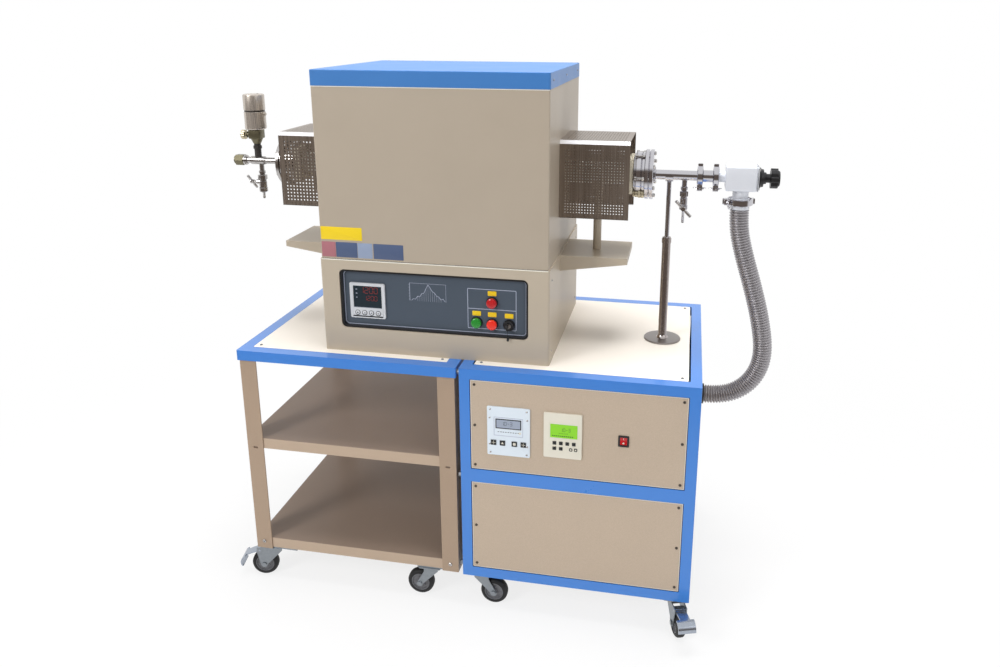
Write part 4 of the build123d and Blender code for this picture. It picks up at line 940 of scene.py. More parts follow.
def makeClamps(settings):
    bm = bmesh.new()
    for x in settings["pipePlaces"]:
        addClamp(
            bm, (x, tubeY, tubeZ), alongTube, settings["bore"], settings["radius"], settings["width"],
            (0, -0.25, -1),
        )
    addClamp(
        bm, settings["hosePlace"], upward, settings["hoseBore"], settings["hoseRadius"],
        settings["hoseWidth"], (-1, -0.35, 0),
    )
    makePiece("clampBands", bm, "frame", ["polishedSteel"], ("clamp_rings",))


makeClamps(clampSettings)

valveSettings = {"left": 0.6255, "length": 0.078, "size": 0.064, "hoseX": 0.6665, "hoseTop": 1.082}


def makeAngleValve(settings):
    bm = bmesh.new()
    half = settings["size"] / 2
    right = settings["left"] + settings["length"]
    addBox(
        bm, (settings["left"], tubeY - half, tubeZ - half), (right, tubeY + half, tubeZ + half), 0.004, 3,
        0,
    )
    neck = settings["left"] - 0.6016
    addSteps(
        bm, (0.6016, tubeY, tubeZ), alongTube,
        ((0.004, 0.020), (0.003, 0.017), (neck - 0.0075, 0.014), (0.0015, 0.016)), 40, 0,
    )
    drop = tubeZ - half - settings["hoseTop"]
    down = ((0, 0), (0, 0.024), (0.003, 0.0215), (0.005, 0.0205), (drop - 0.029, 0.0205),
            (drop - 0.024, 0.025), (drop - 0.020, 0.028),
            (drop - 0.016, 0.028), (drop - 0.012, 0.025),
            (drop, 0.025), (drop, 0))
    addTurned(bm, (settings["hoseX"], tubeY, tubeZ - half + 0.0005), -upward, down, 48, 0)
    inner = half - 0.001
    addBox(
        bm, (right + 0.0002, tubeY - inner, tubeZ - inner), (right + 0.005, tubeY + inner, tubeZ + inner),
        0.0016, 2, 1,
    )
    cap = (
        (0, 0), (0, 0.0275), (0.004, 0.027), (0.006, 0.024), (0.012, 0.0225), (0.0128, 0.0155),
        (0.0185, 0.015), (0.019, 0.0145), (0.019, 0),
    )
    addTurned(bm, (right + 0.005, tubeY, tubeZ), alongTube, cap, 48, 1)
    for y in (-1, 1):
        for z in (-1, 1):
            addHex(
                bm, (right + 0.005, tubeY + y * 0.0245, tubeZ + z * 0.0245), alongTube, 0.0025, 0.0036, 2,
            )
    materials = ["castAluminium", "blackMoulding", "turnedSteel"]
    makePiece("angleValveBody", bm, "frame", materials, ("angle_valve",))
    knob = bmesh.new()
    outline = lobedOutline(0.026, 0.0042, 7, 112)
    addPrism(knob, outline, (0.7385, tubeY, tubeZ), (0, 1, 0), (0, 0, 1), 0.018, 0, 0.0018)
    face = (
        (0, 0), (0, 0.0205), (0.0035, 0.0200), (0.005, 0.0180), (0.005, 0.011), (0.0042, 0.010),
        (0.0042, 0),
    )
    addTurned(knob, (0.7565, tubeY, tubeZ), alongTube, face, 48)
    addSteps(knob, (0.7220, tubeY, tubeZ), alongTube, ((0.0167, 0.0115),), 36)
    makePiece("angleValveKnob", knob, "valve_knob", ["blackMoulding"], ("valve_knob",))


makeAngleValve(valveSettings)


def addCrossbar(bm, hub, stem, stemLength, bar, half, radius=0.004):
    stem, bar = Vector(stem), Vector(bar).normalized()
    hub = Vector(hub)
    addRod(bm, hub, hub + stem * (stemLength + radius * 0.6), radius * 0.95, 20)
    middle = hub + stem * stemLength
    profile = (
        (0, 0), (0, radius * 0.7), (0.001, radius), (half - 0.010, radius), (half - 0.009, radius * 0.86),
        (half, radius * 0.86), (half + 0.009, radius * 0.86), (half + 0.010, radius),
        (2 * half - 0.001, radius), (2 * half, radius * 0.7), (2 * half, 0),
    )
    addTurned(bm, middle - bar * half, bar, profile, 24)
    addTurned(bm, middle - stem * radius * 1.5, stem, steppedProfile(((radius * 2.9, radius * 1.5),)), 24)


def makeHandles():
    bm = bmesh.new()
    tilt = math.radians(-42)
    addCrossbar(
        bm, (inletSettings["valveX"] - 0.0194, tubeY, inletSettings["handleZ"]), (-1, 0, 0), 0.014,
        (0, math.cos(tilt), math.sin(tilt)), 0.031,
    )
    makePiece("inletCrossbar", bm, "inlet_valve_handle", ["turnedSteel"], ("inlet_valve_handle",))
    bm = bmesh.new()
    tilt = math.radians(-46)
    addCrossbar(
        bm, (exhaustSettings["valveX"], tubeY - 0.0174, exhaustSettings["handleZ"]), (0, -1, 0), 0.014,
        (math.cos(tilt), 0, math.sin(tilt)), 0.029,
    )
    makePiece("outletCrossbar", bm, "outlet_valve_handle", ["turnedSteel"], ("outlet_valve_handle",))
    bm = bmesh.new()
    outline = lobedOutline(0.0135, 0.0014, 8, 96)
    left = gaugeSettings["x"] - 0.025 - 0.0044
    addPrism(bm, outline, (left - 0.004, tubeY, 1.2385), (0, 0, 1), (0, 1, 0), 0.010, 0, 0.0012)
    addSteps(bm, (left, tubeY, 1.2385), -alongTube, ((0.0045, 0.004),), 20)
    addSteps(bm, (left - 0.0139, tubeY, 1.2385), -alongTube, ((0.0012, 0.004),), 20)
    makePiece("isolationKnob", bm, "gauge_valve_knob", ["warmBrass"], ("gauge_valve_knob",))


makeHandles()

poleSettings = {"x": 0.4825, "table": 0.706, "tubeTop": 0.997, "foot": 0.050, "tube": 0.0115, "rod": 0.006}


def makePole(settings):
    bm = bmesh.new()
    height = settings["tubeTop"] - settings["table"]
    foot = (
        (0, 0), (0, 0.0495), (0.0005, 0.050), (0.0028, 0.050), (0.0042, 0.0485), (0.0045, 0.046),
        (0.0048, 0.017), (0.0048, 0),
    )
    addTurned(bm, (settings["x"], tubeY, settings["table"]), upward, foot, 64, 1)
    profile = (
        (0.0047, 0), (0.0047, 0.017), (0.0062, 0.0150), (0.011, 0.0125), (0.013, settings["tube"]),
        (height - 0.001, settings["tube"]), (height, settings["tube"] - 0.001), (height, 0.0064),
    )
    addTurned(bm, (settings["x"], tubeY, settings["table"]), upward, profile, 64, 0)
    addRing(
        bm, (settings["x"], tubeY, settings["tubeTop"] - 0.016), upward,
        ((0, 0.0112), (0, 0.0128), (0.012, 0.0128), (0.012, 0.0112)), 48, 0,
    )
    makePiece("poleFoot", bm, "frame", ["poleSteel", "footSteel"], ("support_pole",))
    rod = bmesh.new()
    top = tubeZ - 0.0136 - 0.003
    addRod(rod, (settings["x"], tubeY, 0.884), (settings["x"], tubeY, top), settings["rod"], 32)
    section = []
    for k in range(25):
        angle = math.pi + math.pi * k / 24
        section.append((0.0136 * math.cos(angle), 0.0136 * math.sin(angle)))
    for k in range(25):
        angle = 2 * math.pi - math.pi * k / 24
        section.append((0.0176 * math.cos(angle), 0.0176 * math.sin(angle)))
    addPrism(rod, section, (settings["x"] - 0.010, tubeY, tubeZ), (0, 1, 0), (0, 0, 1), 0.020, 0, 0.0006)
    makePiece("poleRod", rod, "support_rod", ["polishedSteel"], ("support_rod",))


makePole(poleSettings)
print("plumbing done")

# perforated sheet: one square tile with a round hole, repeated over a face


def makePerforatedTree():
    tree, given, put = newGeometryTree(
        "perforatedFace",
        (
            ("Geometry", "NodeSocketGeometry", None),
            ("Columns", "NodeSocketInt", 15),
            ("Rows", "NodeSocketInt", 15),
            ("Pitch", "NodeSocketFloat", 0.011),
            ("Hole Radius", "NodeSocketFloat", 0.002),
            ("Thickness", "NodeSocketFloat", 0.0012),
            ("Material", "NodeSocketMaterial", None),
        ),
    )
    link = tree.links.new
    square = tree.nodes.new("GeometryNodeCurvePrimitiveQuadrilateral")
    link(given.outputs["Pitch"], square.inputs["Width"])
    link(given.outputs["Pitch"], square.inputs["Height"])
    hole = addNode(tree, "GeometryNodeCurvePrimitiveCircle", {"Resolution": 10})
    link(given.outputs["Hole Radius"], hole.inputs["Radius"])
    both = tree.nodes.new("GeometryNodeJoinGeometry")
    link(square.outputs[0], both.inputs[0])
    link(hole.outputs[0], both.inputs[0])
    tile = tree.nodes.new("GeometryNodeFillCurve")
    link(both.outputs[0], tile.inputs[0])
    grid = tree.nodes.new("GeometryNodeMeshGrid")
    link(given.outputs["Columns"], grid.inputs["Vertices X"])
    link(given.outputs["Rows"], grid.inputs["Vertices Y"])
    for count, side in (("Columns", "Size X"), ("Rows", "Size Y")):
        steps = mathNode(tree, "SUBTRACT", given.outputs[count], 1.0)
        link(mathNode(tree, "MULTIPLY", steps, given.outputs["Pitch"]), grid.inputs[side])
    spread = tree.nodes.new("GeometryNodeInstanceOnPoints")
    link(grid.outputs[0], spread.inputs["Points"])
    link(tile.outputs[0], spread.inputs["Instance"])
    whole = tree.nodes.new("GeometryNodeRealizeInstances")
    link(spread.outputs[0], whole.inputs[0])
    weld = addNode(tree, "GeometryNodeMergeByDistance", {"Distance": 0.00002})
    link(whole.outputs[0], weld.inputs[0])
    raised = addNode(tree, "GeometryNodeExtrudeMesh", {"Individual": False})
    link(weld.outputs[0], raised.inputs["Mesh"])
    link(mathNode(tree, "MULTIPLY", given.outputs["Thickness"], -1.0), raised.inputs["Offset Scale"])
    joined = tree.nodes.new("GeometryNodeJoinGeometry")
    link(weld.outputs[0], joined.inputs[0])
    link(raised.outputs[0], joined.inputs[0])
    sealed = addNode(tree, "GeometryNodeMergeByDistance", {"Distance": 0.00002})
    link(joined.outputs[0], sealed.inputs[0])
    endTree(tree, sealed.outputs[0], given, put)
    return tree


perforatedFace = makePerforatedTree()
# each guard's own pair is the holes' pitch and radius
guardSettings = {
    "bevel": 0.009,
    "lip": 0.008,
    "marginX": 0.020,
    "marginZ": 0.018,
    "thickness": 0.0012,
    "rightGuard": (0.0074, 0.0015),
    "leftGuard": (0.0094, 0.0022),
}


def addPerforatedFace(bm, corner, right, up, width, height, settings, holes):
    # a face of the guard: perforated field with a plain margin all round
    pitch, radius = holes
    thickness = settings["thickness"]
    columns = int((width - settings["marginX"]) / pitch)
    rows = int((height - settings["marginZ"]) / pitch)
    values = {
        "Columns": columns, "Rows": rows, "Pitch": pitch, "Hole Radius": radius,
        "Thickness": thickness, "Material": finish["guardSteel"],
    }
    field = runTree(perforatedFace, values)
    right, up, corner = Vector(right), Vector(up), Vector(corner)
    outward = right.cross(up)
    middle = corner + right * width / 2 + up * height / 2
    turn = Matrix((right, up, outward)).transposed().to_4x4()
    field.transform(Matrix.Translation(middle) @ turn)
    for face in field.polygons:
        face.material_index = 0
    bm.from_mesh(field)
    bpy.data.meshes.remove(field)
    halfX, halfY = columns * pitch / 2, rows * pitch / 2
    inner = ((-halfX, -halfY), (halfX, -halfY), (halfX, halfY), (-halfX, halfY))
    outer = (
        (-width / 2, -height / 2), (width / 2, -height / 2), (width / 2, height / 2),
        (-width / 2, height / 2),
    )
    for lift in (0, -thickness):
        near = [bm.verts.new(middle + right * x + up * y + outward * lift) for x, y in inner]
        far = [bm.verts.new(middle + right * x + up * y + outward * lift) for x, y in outer]
        for k in range(4):
            following = (k + 1) % 4
            corners = (far[k], far[following], near[following], near[k])
            bm.faces.new(corners if lift == 0 else tuple(reversed(corners)))


def makeGuards(settings):
    near, far = boxOf("tube_guards")
    body = boxOf("furnace_body")
    front, back, low, high = near.y, far.y, near.z, far.z
    for name, left, right in (("rightGuard", body[1].x, far.x), ("leftGuard", near.x, body[0].x)):
        bm = bmesh.new()
        width = right - left
        bevel = settings["bevel"]
        holes = settings[name]
        addPerforatedFace(
            bm, (left, front, low), (1, 0, 0), (0, 0, 1), width, high - low - bevel, settings, holes,
        )
        addPerforatedFace(bm, (right, back, low), (-1, 0, 0), (0, 0, 1), width, high - low, settings, holes)
        addPerforatedFace(
            bm, (left, front + bevel, high), (1, 0, 0), (0, 1, 0), width, back - front - bevel, settings,
            holes,
        )
        # the bottom lips and the chamfer strip take the near-white steel, a painted highlight on the lit
        # edges
        for edge, inward in ((front, 1), (back, -1)):
            corners = [edge, edge + inward * settings["lip"]]
            addBox(
                bm, (left, min(corners), low), (right, max(corners), low + settings["thickness"]), 0.0003,
                1, 1,
            )
        for lift in (0.0, settings["thickness"]):
            shift = lift * 0.7
            strip = [
                (left, front + lift, high - bevel - shift * 0.6),
                (right, front + lift, high - bevel - shift * 0.6),
                (right, front + bevel + shift * 0.6, high - lift),
                (left, front + bevel + shift * 0.6, high - lift),
            ]
            if lift:
                strip.reverse()
            bm.faces.new([bm.verts.new(corner) for corner in strip]).material_index = 1
        bmesh.ops.remove_doubles(bm, verts=bm.verts, dist=0.00003)
        piece = makePiece(name, bm, "frame", ["guardSteel", "bevelHighlightSteel"], (), recalc=False)
        print(name, len(piece.data.polygons), "faces")
    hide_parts("tube_guards")


makeGuards(guardSettings)

# casters: turned tyres and hubs in place of the plain wheels

wheelSettings = {
    "radius": 0.0375,
    "width": 0.025,
    "hubWidth": 0.028,
    "headings": {
        "front_left": 12, "front_mid_left": 0, "front_mid_right": 180, "front_right": 108,
        "rear_left": 35, "rear_mid_left": -48, "rear_mid_right": -90, "rear_right": 20,
    },
}


def makeWheels(settings):
    for place, heading in settings["headings"].items():
        node = "caster_wheel_" + place
        turn = math.radians(heading)
        axis = Vector((-math.sin(turn), math.cos(turn), 0))
        centre = midOf(node)
        r, half = settings["radius"], settings["width"] / 2
        bm = bmesh.new()
        tyre = [
            (-half + 0.0005, 0.0262), (-half, 0.0272), (-half + 0.0004, r - 0.0065),
            (-half + 0.0030, r - 0.0022), (-half + 0.0065, r - 0.0003),
            (-0.002, r), (0.002, r), (half - 0.0065, r - 0.0003), (half - 0.0030, r - 0.0022),
            (half - 0.0004, r - 0.0065), (half, 0.0272),
            (half - 0.0005, 0.0262),
        ]
        addRing(bm, centre, axis, tyre, 64, 0)
        hub = [
            (-half + 0.0015, 0.0262), (-half + 0.0012, 0.0238), (-half + 0.0050, 0.0222),
            (-half + 0.0058, 0.0125), (-half + 0.0045, 0.0105),
            (-settings["hubWidth"] / 2, 0.0095), (-settings["hubWidth"] / 2, 0.0043),
            (settings["hubWidth"] / 2, 0.0043),
            (settings["hubWidth"] / 2, 0.0095), (half - 0.0045, 0.0105), (half - 0.0058, 0.0125),
            (half - 0.0050, 0.0222),
            (half - 0.0012, 0.0238), (half - 0.0015, 0.0262),
        ]
        addRing(bm, centre, axis, hub, 48, 1)
        for side in (-1, 1):
            for k in range(5):
                angle = 2 * math.pi * k / 5
                across = Vector((0, 0, 1)).cross(axis)
                spoke = math.cos(angle) * across + math.sin(angle) * Vector((0, 0, 1))
                base = centre + axis * side * (half - 0.0057)
                addRod(bm, base + spoke * 0.0122, base + spoke * 0.0222, 0.0012, 8, 1)
        makePiece("casterTyre_" + place, bm, node, ["tyreRubber", "hubPlastic"], (node,))


makeWheels(wheelSettings)
print("guards and wheels done")

# colours of the pieces that keep their own solid

solidFinishes = {
    "cart_top_frame": "standBlue", "cabinet_frame": "standBlue", "table_boards": "creamBoard",
    "cart_legs": "legPowder",
    "cart_shelves": "shelfPowder", "cabinet_panels": "panelPowder", "coupling_bolts": "zincPlate",
    "caster_plates": "zincPlate",
    "furnace_base": "baseEnamel", "control_panel": "slatePanel", "temperature_controller": "bezelGrey",
    "furnace_body": "bodyEnamel", "furnace_lid": "lidEnamel", "ceramic_insulation": "fibreCollar",
    "heating_elements": "elementGrey", "thermocouple": "alumina", "work_tube": "alumina",
    "side_brackets": "baseEnamel",
    "hose_port": "blackMoulding", "vacuum_pump": "pumpPaint", "power_transformer": "elementGrey",
    "panel_instruments": "plateCream", "power_rocker": "stopRed", "stop_button": "stopRed",
    "start_button": "startGreen",
    "heat_button": "heatRed", "key_switch": "blackMoulding",
}
for node, name in solidFinishes.items():
    nodes[node].data.materials.clear()
    nodes[node].data.materials.append(finish[name])
for name, node in nodes.items():
    if name.startswith("caster_fork"):
        node.data.materials.clear()
        node.data.materials.append(finish["zincPlate"])
    if name.startswith("brake_pedal"):
        node.data.materials.clear()
        node.data.materials.append(finish["pedalChrome"])

# printed and fitted details on the control panel and the instruments

def addPlate(bm, x, y, z, width, height, thickness, corner=0.0008, slot=0, bevel=0.0):
    # flat plate on a surface that faces the front
    addPrism(
        bm, roundedOutline(width, height, corner, 4), (x, y, z), frontRight, frontUp, thickness, slot,
        bevel,
    )


segmentPlaces = {
    "a": (0.0, 1.0, True), "b": (0.5, 0.5, False), "c": (0.5, -0.5, False), "d": (0.0, -1.0, True),
    "e": (-0.5, -0.5, False), "f": (-0.5, 0.5, False), "g": (0.0, 0.0, True),
}
digitSegments = {
    "0": "abcdef", "1": "bc", "2": "abged", "3": "abgcd", "4": "fgbc", "5": "afgcd", "6": "afgedc",
    "7": "abc", "8": "abcdefg", "9": "abcdfg",
    "-": "g", " ": "",
}


def addDigits(bm, text, x, y, z, height, depth, slot):
    # seven-segment digits, centred on x and z
    width = height * 0.56
    step = height * 0.78
    thick = height * 0.11
    figures = [c for c in text if c != "."]
    left = x - step * (len(figures) - 1) / 2
    place = 0
    for character in text:
        if character == ".":
            addPlate(
                bm, left + step * (place - 0.5), y, z - height / 2, thick, thick, depth, thick * 0.2, slot,
            )
            continue
        for name in digitSegments[character]:
            across, rise, flat = segmentPlaces[name]
            run = (width if flat else height / 2) - thick
            size = (run, thick) if flat else (thick, run)
            addPlate(
                bm, left + step * place + across * width, y, z + rise * height / 2, size[0], size[1], depth,
                thick * 0.2, slot,
            )
        place += 1


panelSettings = {
    "front": -0.221,
    "middle": (-0.0975, 0.852),
    "size": (0.502, 0.160),
    "lineInset": 0.0065,
    "line": 0.0022,
    "graph": (-0.1615, -0.0645, 0.854, 0.902),
    "buttonFrame": (-0.0075, 0.1205, 0.790, 0.898),
    "divider": 0.844,
    "tags": ((0.0575, 0.887), (0.0165, 0.8315), (0.0575, 0.8305), (0.1015, 0.8295)),
}


def addStroke(bm, start, end, y, width, depth, slot):
    start, end = Vector((start[0], 0, start[1])), Vector((end[0], 0, end[1]))
    along = (end - start).normalized()
    side = Vector((-along.z, 0, along.x))
    half = (end - start).length / 2
    outline = [(-half, -width / 2), (half, -width / 2), (half, width / 2), (-half, width / 2)]
    middle = (start + end) / 2
    middle.y = y
    addPrism(bm, outline, middle, along, side, depth, slot)


def makePanelPrint(settings):
    bm = bmesh.new()
    front, ink = settings["front"], 0.0003
    width, height = settings["size"]
    inset = settings["lineInset"]
    x, z = settings["middle"]
    addFrame(bm, width - 2 * inset, height - 2 * inset, settings["line"], 0.011, (x, front, z), ink)
    left, right, low, high = settings["buttonFrame"]
    addFrame(
        bm, right - left, high - low, 0.0015, 0.003, ((left + right) / 2, front, (low + high) / 2), ink,
    )
    addStroke(bm, (left, settings["divider"]), (right, settings["divider"]), front, 0.0015, ink, 0)
    left, right, low, high = settings["graph"]
    heights = (
        0.02, 0.12, 0.10, 0.28, 0.24, 0.44, 0.46, 0.72, 0.95, 0.78, 0.58, 0.52, 0.34, 0.30, 0.14, 0.20,
        0.04,
    )
    step = (right - left - 0.006) / (len(heights) - 1)
    curve = [(left + 0.004 + step * k, low + (high - low) * value) for k, value in enumerate(heights)]
    for start, end in zip(curve, curve[1:]):
        addStroke(bm, start, end, front, 0.0011, ink, 0)
    for place in curve[3:-2]:
        if place[1] - low > 0.006:
            addStroke(bm, (place[0], low), place, front, 0.0004, ink * 0.8, 0)
    addStroke(bm, (left, low), (left, high), front, 0.0010, ink, 0)
    addStroke(bm, (left, high), (right, high), front, 0.0006, ink, 0)
    addStroke(bm, (right, low), (right, high), front, 0.0006, ink, 0)
    for k in range(6):
        level = low + (high - low) * (k + 0.5) / 6
        addStroke(bm, (left - 0.003, level), (left, level), front, 0.0007, ink, 0)
    makePiece("panelPrint", bm, "frame", ["panelLine"])
    tags = bmesh.new()
    for x, z in settings["tags"]:
        addPlate(tags, x, front, z, 0.0225, 0.0125, 0.0009, 0.0015, 0, 0.0002)
    makePiece("panelTags", tags, "frame", ["tagYellow"])


makePanelPrint(panelSettings)


def makeRecessGasketAndShade(settings):
    # dark band round the recess that the panel sits in: partly a black gasket, partly painted shade on the
    # recess walls
    bm = bmesh.new()
    x, z = settings["middle"]
    width, height = settings["size"]
    addFrame(
        bm, width - 0.0012, height - 0.0012, 0.0052, 0.0135, (x, settings["front"] + 0.0005, z), 0.0105,
    )
    makePiece("recessLiner", bm, "frame", ["blackMoulding"])


makeRecessGasketAndShade(panelSettings)


keySettings = {"x": 0.1015, "z": 0.805, "front": -0.221}


def makeBezels(settings):
    # black collars behind the push buttons and the key lock
    bm = bmesh.new()
    for node in ("stop_button", "start_button", "heat_button", "key_switch"):
        centre = midOf(node)
        section = (
            (0, 0.0152), (0.0032, 0.0152), (0.0038, 0.0149), (0.0038, 0.0144), (0.0034, 0.0140),
            (0.0008, 0.0140), (0.0008, 0.0100), (0, 0.0100),
        )
        addRing(
            bm, (centre.x, settings["front"], centre.z if node != "key_switch" else keySettings["z"]),
            (0, -1, 0), section, 48,
        )
    makePiece("buttonBezels", bm, "frame", ["blackMoulding"])


makeBezels(panelSettings)


def makeButton(node, colour):
    low, high = boxOf(node)
    x, z = (low.x + high.x) / 2, (low.z + high.z) / 2
    radius = (high.x - low.x) / 2
    front, depth = low.y, 0.008
    dome = (
        (0, 0), (0, radius - 0.0006), (0.0008, radius), (depth - 0.0034, radius),
        (depth - 0.0016, radius - 0.0008), (depth - 0.0006, radius - 0.0024),
        (depth - 0.0002, radius - 0.0050), (depth, radius * 0.3), (depth, 0),
    )
    bm = bmesh.new()
    addTurned(bm, (x, front + depth, z), (0, -1, 0), dome, 48)
    addTurned(
        bm, (x, front + depth + 0.0002, z), (0, 1, 0), ((0, 0), (0, 0.0084), (0.014, 0.0084), (0.014, 0)),
        32,
    )
    makePiece(node + "Cap", bm, node, [colour], (node,))


for node, colour in (("stop_button", "stopRed"), ("start_button", "startGreen"), ("heat_button", "heatRed")):
    makeButton(node, colour)


def makeKeyLock(settings):
    bm = bmesh.new()
    x, z, front = settings["x"], settings["z"], settings["front"]
    barrel = (
        (0, 0), (0, 0.0130), (0.0066, 0.0130), (0.0080, 0.0118), (0.0080, 0.0075), (0.0074, 0.0070),
        (0.0074, 0),
    )
    addTurned(bm, (x, front - 0.002, z), (0, -1, 0), barrel, 48, 0)
    addTurned(
        bm, (x, front - 0.0018, z), (0, 1, 0), ((0, 0), (0, 0.0084), (0.014, 0.0084), (0.014, 0)), 32, 0,
    )
    addTurned(
        bm, (x, front - 0.0092, z), (0, -1, 0), ((0, 0), (0, 0.0068), (0.0008, 0.0064), (0.0008, 0)), 32, 1,
    )
    outline = roundedOutline(0.0022, 0.011, 0.0006, 2)
    addPrism(bm, outline, (x, front - 0.0095, z), frontRight, frontUp, 0.006, 1, 0.0003)
    bow = ellipseOutline(0.0085, 0.0095, 28)
    addPrism(bm, bow, (x - 0.0011, front - 0.0190, z), (0, -1, 0), (0, 0, 1), 0.0022, 0, 0.0006)
    makePiece("keyLock", bm, "key_switch", ["blackMoulding", "turnedSteel"], ("key_switch",))
    tag = bmesh.new()
    addRod(tag, (x, front - 0.0195, z - 0.009), (x + 0.0006, front - 0.0200, z - 0.022), 0.0006, 8)
    addPlate(tag, x + 0.0006, front - 0.0195, z - 0.029, 0.006, 0.015, 0.0016, 0.002, 0, 0.0003)
    makePiece("keyTag", tag, "key_switch", ["blackMoulding"])


makeKeyLock(keySettings)

controllerSettings = {"x": -0.2765, "z": 0.847, "front": -0.226, "size": 0.096}


def makeController(settings):
    x, z, front = settings["x"], settings["z"], settings["front"]
    half = settings["size"] / 2
    bm = bmesh.new()
    addFrame(bm, 0.0962, 0.0962, 0.0065, 0.004, (x, front + 0.004, z), 0.0044, 0)
    addPlate(bm, x, front + 0.0022, z - 0.0335, 0.084, 0.023, 0.0026, 0.001, 0)
    addPlate(bm, x, front + 0.0026, z + 0.0105, 0.0835, 0.0640, 0.0016, 0.0015, 1)
    addFrame(bm, 0.0790, 0.0600, 0.0005, 0.0015, (x, front + 0.0010, z + 0.0105), 0.0002, 4)
    addDigits(bm, "1200", x + 0.004, front + 0.0010, z + 0.0285, 0.0165, 0.0003, 2)
    addDigits(bm, "1200", x + 0.008, front + 0.0010, z + 0.0065, 0.0125, 0.0003, 2)
    for k in range(3):
        addPlate(bm, x - 0.030, front + 0.0010, z + 0.030 - 0.011 * k, 0.0040, 0.0018, 0.0003, 0.0003, 4)
    for k in range(4):
        centre = Vector((x - 0.0285 + 0.019 * k, front - 0.0003, z - 0.0335))
        addRing(
            bm, centre, (0, -1, 0), ((0, 0.0046), (0, 0.0072), (0.0005, 0.0071), (0.0006, 0.0047)), 32, 3,
        )
        addTurned(
            bm, centre, (0, -1, 0), ((0, 0), (0, 0.0044), (0.0010, 0.0042), (0.0014, 0.0034), (0.0015, 0)),
            28, 0,
        )
        arrow = [(-0.0022, -0.0012), (0.0022, -0.0012), (0, 0.0018)]
        if k == 1:
            arrow = [(-0.0012, 0), (0.0016, -0.0020), (0.0016, 0.0020)]
        if k == 2:
            arrow = [(-0.0022, 0.0012), (0, -0.0018), (0.0022, 0.0012)]
        if k == 0:
            arrow = roundedOutline(0.0034, 0.0034, 0.0012, 3)
        addPrism(bm, arrow, centre + Vector((0, -0.0014, 0)), frontRight, frontUp, 0.0002, 3)
    materials = ["bezelGrey", "displayDark", "digitRed", "blackMoulding", "panelLine"]
    makePiece("controllerFace", bm, "frame", materials)


makeController(controllerSettings)


def addScrewHeads(bm, places, radius, slot):
    for x, y, z in places:
        head = (
            (0, 0), (0, radius), (radius * 0.35, radius * 0.92), (radius * 0.55, radius * 0.62),
            (radius * 0.55, radius * 0.4), (radius * 0.3, radius * 0.36), (radius * 0.3, 0),
        )
        addTurned(bm, (x, y, z), (0, -1, 0), head, 16, slot)


vacuumGaugeSettings = {"x": 0.114, "z": 0.542, "front": -0.293, "size": (0.111, 0.135)}
controlGaugeSettings = {"x": 0.254, "z": 0.545, "front": -0.294, "size": (0.097, 0.123)}


def makeVacuumGauge(settings):
    x, z, front = settings["x"], settings["z"], settings["front"]
    width, height = settings["size"]
    bm = bmesh.new()
    addPlate(bm, x, front + 0.0038, z, width + 0.0006, height + 0.0006, 0.0040, 0.003, 0, 0.0006)
    addFrame(bm, 0.076, 0.052, 0.0012, 0.001, (x, front - 0.0002, z + 0.014), 0.0004, 5)
    addPlate(bm, x, front - 0.0002, z + 0.022, 0.067, 0.027, 0.0006, 0.0006, 1)
    addPlate(bm, x, front - 0.0006, z + 0.022, 0.062, 0.022, 0.0003, 0.0004, 2)
    addDigits(bm, "1.0-3", x - 0.004, front - 0.0009, z + 0.023, 0.0095, 0.0002, 3)
    for k in range(9):
        addPlate(bm, x - 0.026 + 0.0065 * k, front - 0.0002, z - 0.001, 0.0042, 0.0015, 0.0003, 0.0003, 3)
    addPlate(bm, x + 0.030, front - 0.0002, z - 0.001, 0.006, 0.006, 0.0006, 0.0026, 6)
    for k in (-1.5, -0.6, 0.6, 1.5):
        keyX = x + k * 0.026
        addPlate(bm, keyX, front - 0.0002, z - 0.032, 0.0150, 0.0150, 0.0012, 0.0012, 4, 0.0003)
        if abs(k) > 1:
            addStroke(
                bm, (keyX - 0.0055, z - 0.032), (keyX + 0.0055, z - 0.032), front - 0.0014, 0.0009, 0.0002,
                6,
            )
            addStroke(bm, (keyX, z - 0.0375), (keyX, z - 0.0265), front - 0.0014, 0.0009, 0.0002, 6)
        elif k < 0:
            addPrism(
                bm, [(-0.0036, -0.0026), (0.0036, -0.0026), (0, 0.0034)], (keyX, front - 0.0014, z - 0.032),
                frontRight, frontUp, 0.0002, 6,
            )
        else:
            addPlate(bm, keyX, front - 0.0014, z - 0.032, 0.0074, 0.0074, 0.0002, 0.0022, 6)
    corners = [(sx, sz) for sx in (-1, 1) for sz in (-1, 1)]
    reaches = ((0.0475, 0.0605), (0.0490, 0.0370))
    spots = [(sx * reachX, sz * reachZ) for reachX, reachZ in reaches for sx, sz in corners]
    addScrewHeads(bm, [(x + dx, front - 0.0002, z + dz) for dx, dz in spots], 0.0026, 7)
    materials = [
        "plateBlue", "gaugeSurroundAndSeamShade", "lcdGrey", "digitDark", "blackMoulding", "panelLine", "plateCream",
        "turnedSteel",
    ]
    makePiece("vacuumGaugeFace", bm, "frame", materials)


